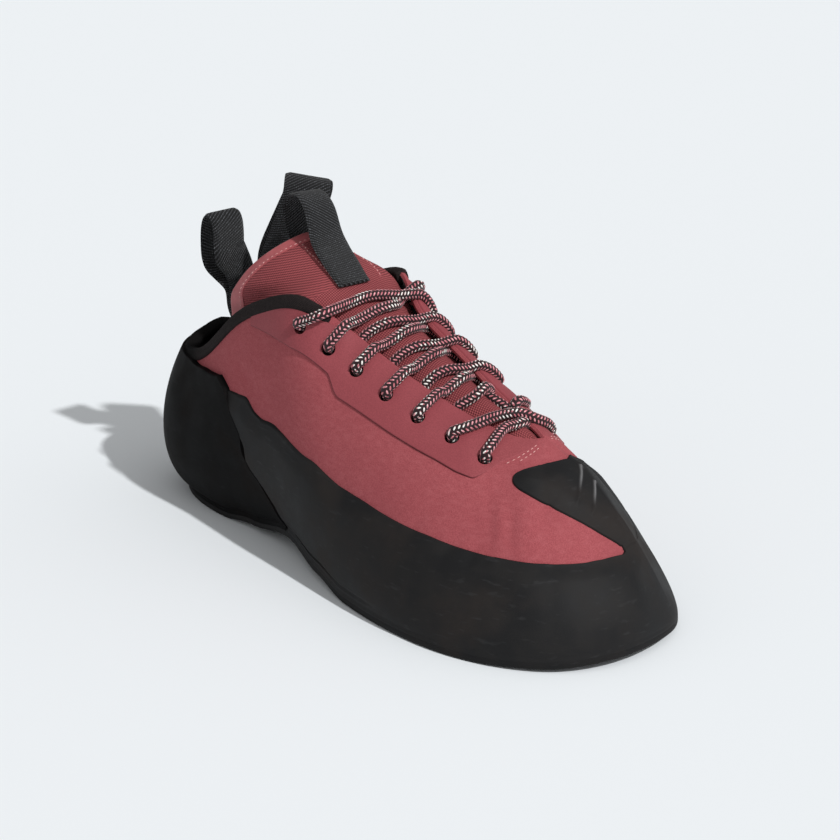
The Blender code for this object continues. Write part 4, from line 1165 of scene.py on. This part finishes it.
def makeTongue():
    places = np.linspace(tongue["front"], tongue["top"], tongue["rows"] + 1)
    over = tongue["overColumns"]
    grid = smoothRows(np.array([tongueLine(k) for k in places]), tongue["smoothing"])
    out = unit(np.cross(np.gradient(grid, axis=1), np.gradient(grid, axis=0)))
    tucked = len(tongue["tuck"]) - 1
    seamW = lookUp(places, tongue["seam"])
    w = np.concatenate([np.full(tucked, -0.1), np.linspace(0, 1, over + 1), np.full(tucked, 1.1)])
    seams = [tucked + np.round(share * over).astype(int) for share in (seamW, 1 - seamW)]
    every = np.arange(len(places))
    near = np.minimum(*[distances(grid, denseLine(grid[every, at])) for at in seams])
    near = near + tongue["seamGone"] * ramp(places, tongue["sideEnd"], tongue["seamFade"])[:, None]
    ridge = tongue["seamRise"] * np.exp(-(near / tongue["seamWide"]) ** 2)
    side = np.where((w[None] < seamW[:, None]) | (w[None] > 1 - seamW[:, None]), 1.0, 0.0)
    side = side * (places < tongue["sideEnd"])[:, None]
    points, faces = slab(grid + ridge[..., None] * out, grid - tongue["wall"] * out)
    cloth = clothRuns(grid)
    marks = {"sidePanel": np.tile(side.ravel(), 2), "seamHighlightGap": np.tile(near.ravel(), 2) / mm}
    inside = np.zeros(len(faces), bool)
    count = (grid.shape[0] - 1) * (grid.shape[1] - 1)
    inside[count:2 * count] = True
    addPiece("tongueMesh", points, faces, knit, ("tongue",), np.concatenate([cloth, cloth]),
             marks, (lining, inside))
    makeTongueTape(grid, out, places)
    # lines of stitches: along the tape, and along both seams
    rowsIn, columnsIn = tongue["tapeStitch"]
    row = np.flatnonzero(places <= tongue["tapeStart"])[rowsIn]
    span = slice(tucked + columnsIn, -tucked - columnsIn)
    runs = [(grid[row, span] + tongue["tapeLift"] * out[row, span], out[row, span])]
    along = np.flatnonzero((places < tongue["sideEnd"]) & (places > tongue["tapeStart"]))
    for at in seams:
        up = out[along, at[along]]
        line = grid[along, at[along]] + tongue["stitchLift"] * up
        runs.append((smoothRows(line, tongue["seamSmoothing"]), up))
    return runs


def makeTongueTape(grid, out, places):
    rows = np.flatnonzero(places <= tongue["tapeStart"])
    edge, normal = grid[rows], out[rows]
    lift = tongue["tapeLift"]
    under = -tongue["wall"] - lift
    past = unit(edge[-1] - edge[-2])
    outerFoot, innerFoot = tongue["tapeFoot"]
    layers = [edge[0] - outerFoot * normal[0], edge[0] + 0.6 * lift * normal[0]]
    layers += [row + lift * n for row, n in zip(edge[1:], normal[1:])]
    for ahead, height in tongue["tapeRound"]:
        layers.append(edge[-1] + ahead * mm * past + height * mm * normal[-1])
    layers += [row + under * n for row, n in zip(edge[::-1], normal[::-1])]
    layers.append(edge[0] - innerFoot * normal[0])
    shape = np.array(layers)
    shape[:, [0, -1]] = shape[:, [0, -1]].mean(0)  # closed ends, hidden under the upper
    faces = gridFaces(*shape.shape[:2], 0, True)
    addPiece("tongueTape", shape, faces, pale, ("tongue_binding",), clothRuns(shape))


tongueRuns = makeTongue()
print("tongue made")

# Webbing pull loops, one row a bend: x, y, z and width in mm, then the direction across the webbing
pullLoops = {
    "thickness": 1.5 * mm, "steps": 12, "across": 13, "selvedge": 10,
    "tongue_loop": [
        (104.2, -4.5, 102.7, 14, 0, 1, 0.06), (100, -4, 105.0, 14.5, 0, 1, 0.06),
        (94.5, -2.8, 108.0, 15, 0, 1, 0.06), (89, -1.5, 110.8, 15.5, 0, 1, 0.03),
        (84.4, -0.3, 113.9, 16, 0, 1, 0), (81.2, 0.5, 117.8, 16, 0, 1, -0.1),
        (78.6, 1, 123, 16, 0, 1, -0.2), (75.5, 1, 127.7, 16, 0, 1, -0.2),
        (70.8, 1, 129.8, 16, 0, 1, -0.1), (66.3, 1, 127.4, 16, 0, 1, 0), (65.3, 1, 121.5, 15, 0, 1, 0),
        (66.2, 0.5, 115, 12, 0, 1, 0), (68.0, 0, 110.4, 9, 0, 1, 0), (71.3, 0, 107.7, 8, 0, 1, 0),
        (75.5, 0, 107.2, 8, 0, 1, 0), (80.0, 0, 108.3, 8, 0, 1, 0),
    ],
    "heel_loop_rear": [
        (19.9, 8.7, 55, 8, 0.89, 0.45, 0), (19.8, 8.6, 63, 8, 0.85, 0.50, 0),
        (18.8, 7.6, 72, 10, 0.60, 0.80, 0), (19.6, 6.0, 81, 11, 0.35, 0.94, 0),
        (16.3, 4.0, 87, 14, 0.30, 0.95, 0), (13.6, 1.6, 91.5, 14, 0.10, 1, 0),
        (15.0, -0.6, 99, 15, 0, 1, 0), (15.9, -1, 106.4, 15, 0, 1, 0), (17.6, -1, 111, 15, 0, 1, 0),
        (20.2, -1, 112.4, 15, 0, 1, 0), (23.0, -1, 110, 15, 0, 1, 0), (24.0, -1, 104, 15, 0, 1, 0),
        (23.9, -0.8, 98, 15, 0, 1, 0), (22.8, 2.0, 93.5, 14, 0.10, 1, 0),
        (22.6, 5.0, 88, 12, 0.30, 0.95, 0), (22.6, 6.2, 81, 11, 0.35, 0.94, 0),
        (21.4, 6.2, 73, 10, 0.60, 0.80, 0), (21.2, 6.5, 65, 8, 0.85, 0.50, 0),
        (21.2, 6.5, 57, 8, 0.89, 0.45, 0),
    ],
    "heel_loop_medial": [
        (33.0, 12.9, 57, 8, 0.95, 0.30, 0), (32.9, 12.9, 66, 8, 0.93, 0.35, 0),
        (31.5, 13.8, 80, 10, 0.85, 0.50, -0.05), (32.4, 16.2, 92, 16, 0.70, 0.69, -0.16),
        (38.2, 18.0, 104, 18, 0.70, 0.69, -0.16), (43.0, 21.0, 116, 18, 0.70, 0.69, -0.16),
        (46.8, 21.8, 124.4, 18, 0.70, 0.69, -0.16), (50.2, 18.4, 128.8, 18, 0.70, 0.69, -0.16),
        (53.6, 14.6, 124.6, 18, 0.70, 0.69, -0.16), (52.2, 12.8, 116, 18, 0.70, 0.69, -0.16),
        (46.4, 12.0, 104, 18, 0.70, 0.69, -0.16), (40.0, 11.2, 92, 16, 0.70, 0.69, -0.16),
        (35.5, 10.6, 80, 12, 0.75, 0.65, -0.1), (33.6, 10.2, 71, 9, 0.90, 0.40, 0),
        (33.3, 10.4, 65, 8, 0.95, 0.30, 0), (33.3, 10.5, 57, 8, 0.95, 0.30, 0),
    ],
}


def loopFrame(node):
    path = smoothPath(pullLoops[node], pullLoops["steps"])
    centre = path[:, :3] * mm
    along = unit(np.gradient(centre, axis=0))
    side = path[:, 4:]
    side = unit(side - np.sum(along * side, 1)[:, None] * along)
    return centre, side, np.cross(along, side), path[:, 3] * mm / 2


def makeLoop(name, node):
    centre, side, face, half = loopFrame(node)
    spread = np.linspace(-1, 1, pullLoops["across"])
    plump = np.sqrt(np.clip(1 - np.abs(spread) ** pullLoops["selvedge"], 0, 1))  # round edges
    across = np.concatenate([spread, spread[-2:0:-1]])
    high = pullLoops["thickness"] / 2 * np.concatenate([plump, -plump[-2:0:-1]])
    wide = across * half[:, None]
    rings = centre[:, None] + wide[..., None] * side[:, None] + high[:, None] * face[:, None]
    for end in (0, -1):  # the cut ends
        rings[end] -= high[:, None] * face[end]
    cloth = clothGrid(wide, runLength(centre))
    addPiece(name, rings, tubeFaces(*rings.shape[:2]), webbing, (node,), cloth)


makeLoop("tongueLoop", "tongue_loop")
makeLoop("heelLoopRear", "heel_loop_rear")
makeLoop("heelLoopMedial", "heel_loop_medial")
print("loops made")

# Lace: one round braid laced from edge to eyelet, its ends inside the top eyelets
lace = {
    "radius": 1.95 * mm, "step": 0.3 * mm, "around": 30, "columns": 6, "pitch": 1.5 * mm, "slant": 0.75,
    "relief": 0.24 * mm, "reliefMiddle": 0.6, "bead": (6, 15), "pathSteps": 24,
    "offset": 6.7 * mm,  # how much further along the braid each strand starts
    "tracer": 21 * mm,  # the white threads wind round once in this length
    # how it lies on the tongue and the eyestay, under the edge of the throat, and over it to an eyelet
    "press": 0.9, "medialSink": 0.9 * mm, "rimDrop": (9 * mm, 3 * mm), "rimDepth": 1.5 * mm,
    "overEdge": 1.0 * mm, "overTape": 0.7 * mm, "sag": 0.1 * mm, "halfDown": 0.55, "bend": (0.02, 1.8, 0.8),
    "hole": [(0.7, 0.2), (0.6, -2.2), (0.9, -3.4)],  # mm over the eyelet's middle, mm out of the skin
    # three levels laced alike, each named by its eyelet: sections ahead of it, share across, lift in mm
    "over": [(-0.05, 0.14, -0.2), (0.03, 0.42, 0.3), (0.12, 0.72, 0.8)],
    "under": [(0.16, 0.86, -0.9), (0.26, 0.66, -0.2), (0.30, 0.42, 0.5), (0.29, 0.17, 1.6)],
    "alike": (2, 3, 4), "rimAhead": (-0.06, 0.12, 0.10, 0.27),
    # the other strands: start, places over the tongue, end; an end names its eyelet, or none under the edge
    "top": [
        ((0, 5.50, lateral), [(5.57, 0.24, 1.2), (5.62, 0.46, 0.8), (5.70, 0.74, 1.4)], (1, 5.72, medial)),
        ((0, 5.48, medial), [(5.70, 0.82, -0.6), (5.88, 0.66, -0.2), (5.92, 0.42, 0.5), (5.91, 0.17, 1.6)],
         (1, 5.88, lateral)),
    ],
    "front": [
        ((None, 7.98, lateral), [(8.02, 0.15, 0), (8.12, 0.42, 0.3), (8.05, 0.7, 1.2)], (None, 7.98, medial)),
        ((None, 7.95, medial), [(8.12, 0.8, -1.2), (8.4, 0.8, -0.4), (8.58, 0.86, 0.2)], (5, 8.45, medial)),
        ((5, 8.52, lateral), [(8.68, 0.35, 0.8), (8.85, 0.65, 1.4)], (6, 8.92, medial)),
        ((None, 8.85, medial), [(8.98, 0.70, -0.6), (8.98, 0.40, -0.2)], (6, 8.85, lateral)),
    ],
}


def rimAt(k, side, drop, out):  # a drop under the edge of the throat
    u = side(k)
    return skin(u, shareAt(u, drop, True), out, False)[0]


def onTongue(k, w, lift):
    step = 0.02
    across = tongueArch(k, w + step) - tongueArch(k, w - step)
    along = tongueArch(k - step, w) - tongueArch(k + step, w)
    return tongueArch(k, w) + (lace["press"] * lace["radius"] + lift) * unit(np.cross(across, along))


def strandEnd(number, k, side):
    if number is None:  # from the edge of the throat to the inside of the upper
        depth = -(shoe["wall"] + lace["rimDepth"])
        far, near = lace["rimDrop"]
        return [rimAt(k, side, near, depth), rimAt(k - 0.04, side, far, depth)]
    # from the edge of the throat over the eyestay and down the hole
    eyeletK, drop = eyelets["places"][number]
    lying = eyestay["thickness"] + lace["radius"] - (0 if side is lateral else lace["medialSink"])
    taped = k < collarTape["lateralEnd" if side is lateral else "medialEnd"]
    before, above, dip = lace["bend"]
    points = [rimAt(k, side, lace["overEdge"], lying + (lace["overTape"] if taped else -lace["sag"])),
              rimAt((eyeletK + k) / 2, side, drop * mm * lace["halfDown"], lying - lace["sag"]),
              rimAt(eyeletK + before * np.sign(k - eyeletK), side, (drop - above) * mm, lying - dip * mm)]
    return points + [rimAt(eyeletK, side, (drop - over) * mm, out * mm) for over, out in lace["hole"]]


def strands():
    plan = list(lace["top"])
    overStart, overEnd, underStart, underEnd = lace["rimAhead"]
    for number in lace["alike"]:
        level = eyelets["places"][number][0]
        over, under = [[(level + ahead, share, lift) for ahead, share, lift in lace[way]]
                       for way in ("over", "under")]
        plan.append(((None, level + overStart, lateral), over, (number, level + overEnd, medial)))
        plan.append(((None, level + underStart, medial), under, (number, level + underEnd, lateral)))
    for start, places, end in plan + lace["front"]:
        over = [onTongue(k, w, lift * mm) for k, w, lift in places]
        yield strandEnd(*start)[::-1] + over + strandEnd(*end)


def braidFinish():
    look = Finish("laceBraid", 0.7, sheen=0.15, gloss=0.3)
    turn, run = look.cloth()
    column = turn * lace["columns"]
    lean = look.math("PINGPONG", column, 1.0) * lace["slant"]
    shift = look.math("FRACT", look.math("FLOOR", column) * 0.5)
    x = look.math("FRACT", column) - 0.5
    y = look.math("FRACT", run * (1 / lace["pitch"]) + lean + shift) - 0.5
    wide, long = lace["bead"]
    bead = look.between(1 - x * x * wide - y * y * long, 0.05, 0.5)
    wound = look.math("ABSOLUTE", look.math("FRACT", turn + run * (1 / lace["tracer"])) - 0.5)
    tone = look.between(look.noise(1.1, 1.0), 0.38, 0.62)
    colour = look.mix(tone, paint(182, 100, 109), paint(226, 160, 166))
    white = look.between(wound, 0.34, 0.38) * look.between(tone, 0.1, 0.5)
    colour = look.tint(colour, white, (240, 238, 232))
    # dark wine between the beads: the dark threads, darkened further as painted shade in the gaps
    return look.feed(look.mix(bead, paint(32, 9, 14), colour))


def braidRelief(turn, run):  # beads of thread in columns round the lace, slanted to and fro
    column = turn * lace["columns"]
    whole = np.floor(column)
    lean = np.where(whole % 2 == 0, column - whole, 1 - column + whole)
    x = column - whole - 0.5
    y = np.mod(run / lace["pitch"] + lean * lace["slant"] + whole % 2 / 2, 1) - 0.5
    wide, long = lace["bead"]
    return np.sqrt(np.clip(1 - wide * x * x - long * y * y, 0, 1))


def laceTube(points, startRun):
    path = smoothPath(points, lace["pathSteps"])
    run = runLength(path)
    where = np.linspace(0, run[-1], int(run[-1] / lace["step"]))
    path = resample(path, run, where)
    along = unit(np.gradient(path, axis=0))
    side = np.zeros_like(path)  # carried along the lace without twist
    side[0] = unit(np.cross(along[0], [1.0, 0.3, 0.0]))
    for i in range(1, len(path)):
        side[i] = unit(side[i - 1] - along[i] * (along[i] @ side[i - 1]))
    turn = np.arange(lace["around"] + 1) / lace["around"]
    further = where + startRun
    radius = lace["radius"] + lace["relief"] * (braidRelief(turn, further[:, None]) - lace["reliefMiddle"])
    radius[[0, -1]] = 0  # closed ends
    arms = spokes(2 * np.pi * turn, side, np.cross(along, side))
    return path[:, None] + radius[..., None] * arms, clothGrid(turn, further)


def makeLace():
    points, faces, cloth = [], [], []
    start = 0
    for number, route in enumerate(strands()):
        rings, runs = laceTube(route, lace["offset"] * number)
        faces.append(gridFaces(*rings.shape[:2], start))
        points.append(rings.reshape(-1, 3))
        cloth.append(runs.reshape(-1, 2))
        start += len(points[-1])
    nodes = ["lace_cross_%d" % (n + 1) for n in range(len(eyelets["places"]) - 1)]
    addPiece("lace", np.vstack(points), np.concatenate(faces), braidFinish(), nodes,
             np.vstack(cloth), weld=1e-9, sharp=3.1)


makeLace()
print("lace made")

# Stitches: short runs of thread, joined into one mesh a colour
stitching = {
    "gap": 0.9 * mm, "radius": 0.17 * mm, "rise": 0.14 * mm, "sink": 0.05 * mm,
    "taper": [0.25, 0.85, 1, 1, 0.85, 0.25],
    "vampLength": 1.3 * mm, "tongueLength": 1.1 * mm, "loopLength": 1.5 * mm, "proud": 0.1 * mm,
    # rows beside the throat's end: from section and share to section and share
    "vamp": [(8.98, 0.822, 9.75, 0.957), (9.26, 0.845, 9.80, 0.935)],
    "loopRows": (3, 7), "loopSpan": 0.9,  # two rows hold the loop's foot
}


def stitchRun(points, normals, bank, length):
    run = runLength(points)
    count = len(stitching["taper"])
    turns = np.arange(count) * 2 * np.pi / count
    thick = stitching["radius"] * np.array(stitching["taper"])
    rise = stitching["rise"] * np.sin(np.linspace(0, np.pi, count)) - stitching["sink"]
    for start in np.arange(0, run[-1] - length, length + stitching["gap"]):
        where = start + np.linspace(0, length, count)
        up = unit(resample(normals, run, where))
        line = resample(points, run, where) + rise[:, None] * up
        side = unit(np.cross(unit(np.gradient(line, axis=0)), up))
        bank.append(line[:, None] + thick[:, None, None] * spokes(turns, side, up))


def addStitches(name, bank, finish):
    rings = np.array(bank)
    count, rows, around = rings.shape[:3]
    ends = np.array([[0, 1, 2, 3], [0, 3, 4, 5], [33, 32, 31, 30], [35, 34, 33, 30]])  # the caps
    one = np.concatenate([tubeFaces(rows, around), ends])
    faces = (one[None] + rows * around * np.arange(count)[:, None, None]).reshape(-1, 4)
    addPiece(name, rings, faces, finish, weld=1e-9)


def makeStitches():
    red, black = [], []
    for side in (lateral, medial):
        for startK, startV, endK, endV in stitching["vamp"]:
            u = np.linspace(side(startK), side(endK), 40)
            v = np.linspace(startV, endV, 40)
            stitchRun(skin(u, v, stitching["proud"]), normalAt(u, v), red, stitching["vampLength"])
    for points, normals in tongueRuns:
        stitchRun(points, normals, red, stitching["tongueLength"])
    centre, across, face, half = loopFrame("tongue_loop")
    for row in stitching["loopRows"]:
        for lift in (1, -1):
            spread = np.linspace(-stitching["loopSpan"], stitching["loopSpan"], 20)[:, None]
            line = centre[row] + spread * half[row] * across[row]
            line = line + lift * (pullLoops["thickness"] / 2 + stitching["sink"]) * face[row]
            stitchRun(line, np.tile(lift * face[row], (20, 1)), black, stitching["loopLength"])
    addStitches("redStitches", red, redThread)
    addStitches("blackStitches", black, blackThread)


makeStitches()
print("stitches made")

# Studio
studio = {
    "sun": 2.5, "sunAngle": 1.8, "sunFrom": (0.715, 0.0, 0.70),
    "sky": 0.46, "skySway": 0.75, "skyToward": (0.97, -0.24, 0.0),
    "floor": (235, 239, 242), "floorSize": 12.0,
    "aim": (0.0118, 0.0027, 0.040), "azimuth": 48, "elevation": 21, "distance": 0.9,
    "focusPixels": 2430, "imagePixels": 840, "horizonPixel": 462, "sensor": 36,
}


def makeSky():
    world = bpy.data.worlds.new("studio")
    world.use_nodes = True
    sky = Graph(world.node_tree)
    nodes = world.node_tree.nodes
    nodes.remove(nodes["Background"])
    strengths = [studio["sky"] * share for share in (1 + studio["skySway"], 1 - studio["skySway"])]
    bright, dim = [sky.node("ShaderNodeBackground", {}, {"Color": (1, 1, 1, 1), "Strength": strength})
                   for strength in strengths]
    way = sky.node("ShaderNodeTexCoord", {}, {}, "Generated")
    sockets = {0: way, 1: studio["skyToward"]}
    toward = sky.node("ShaderNodeVectorMath", {"operation": "DOT_PRODUCT"}, sockets, "Value")
    mixed = sky.node("ShaderNodeMixShader", {}, {0: toward * 0.5 + 0.5, 1: dim, 2: bright})
    world.node_tree.links.new(mixed.socket, nodes["World Output"].inputs["Surface"])
    bpy.context.scene.world = world


def makeStudio():
    scene = bpy.context.scene
    scene.view_settings.view_transform = "Standard"
    makeSky()
    reach = studio["floorSize"] / 2
    mesh = bpy.data.meshes.new("floor")
    corners = [(-reach, -reach, 0), (reach, -reach, 0), (reach, reach, 0), (-reach, reach, 0)]
    mesh.from_pydata(corners, [], [(0, 1, 2, 3)])
    mesh.materials.append(Finish("paleFloor", 0.9, gloss=0.0, colour=paint(*studio["floor"])).material)
    floor = addObject("floor", mesh)
    light = bpy.data.lights.new("keySun", "SUN")
    light.energy = studio["sun"]
    light.angle = math.radians(studio["sunAngle"])
    key = addObject("keySun", light)
    key.rotation_euler = Vector(studio["sunFrom"]).to_track_quat("Z", "Y").to_euler()


def makeCamera():
    turn, tilt = math.radians(studio["azimuth"]), math.radians(studio["elevation"])
    back = Vector((math.sin(turn) * math.cos(tilt), -math.cos(turn) * math.cos(tilt), math.sin(tilt)))
    right = Vector((math.cos(turn), math.sin(turn), 0))
    placed = Matrix((right, back.cross(right), back)).transposed().to_4x4()
    placed.translation = Vector(studio["aim"]) + studio["distance"] * back
    data = bpy.data.cameras.new("photoCamera")
    data.sensor_width = studio["sensor"]
    data.lens = studio["focusPixels"] * studio["sensor"] / studio["imagePixels"]
    data.shift_y = (studio["horizonPixel"] - studio["imagePixels"] / 2) / studio["imagePixels"]
    camera = addObject("photoCamera", data)
    camera.matrix_world = placed
    bpy.context.scene.camera = camera


makeStudio()
makeCamera()
print("studio made")
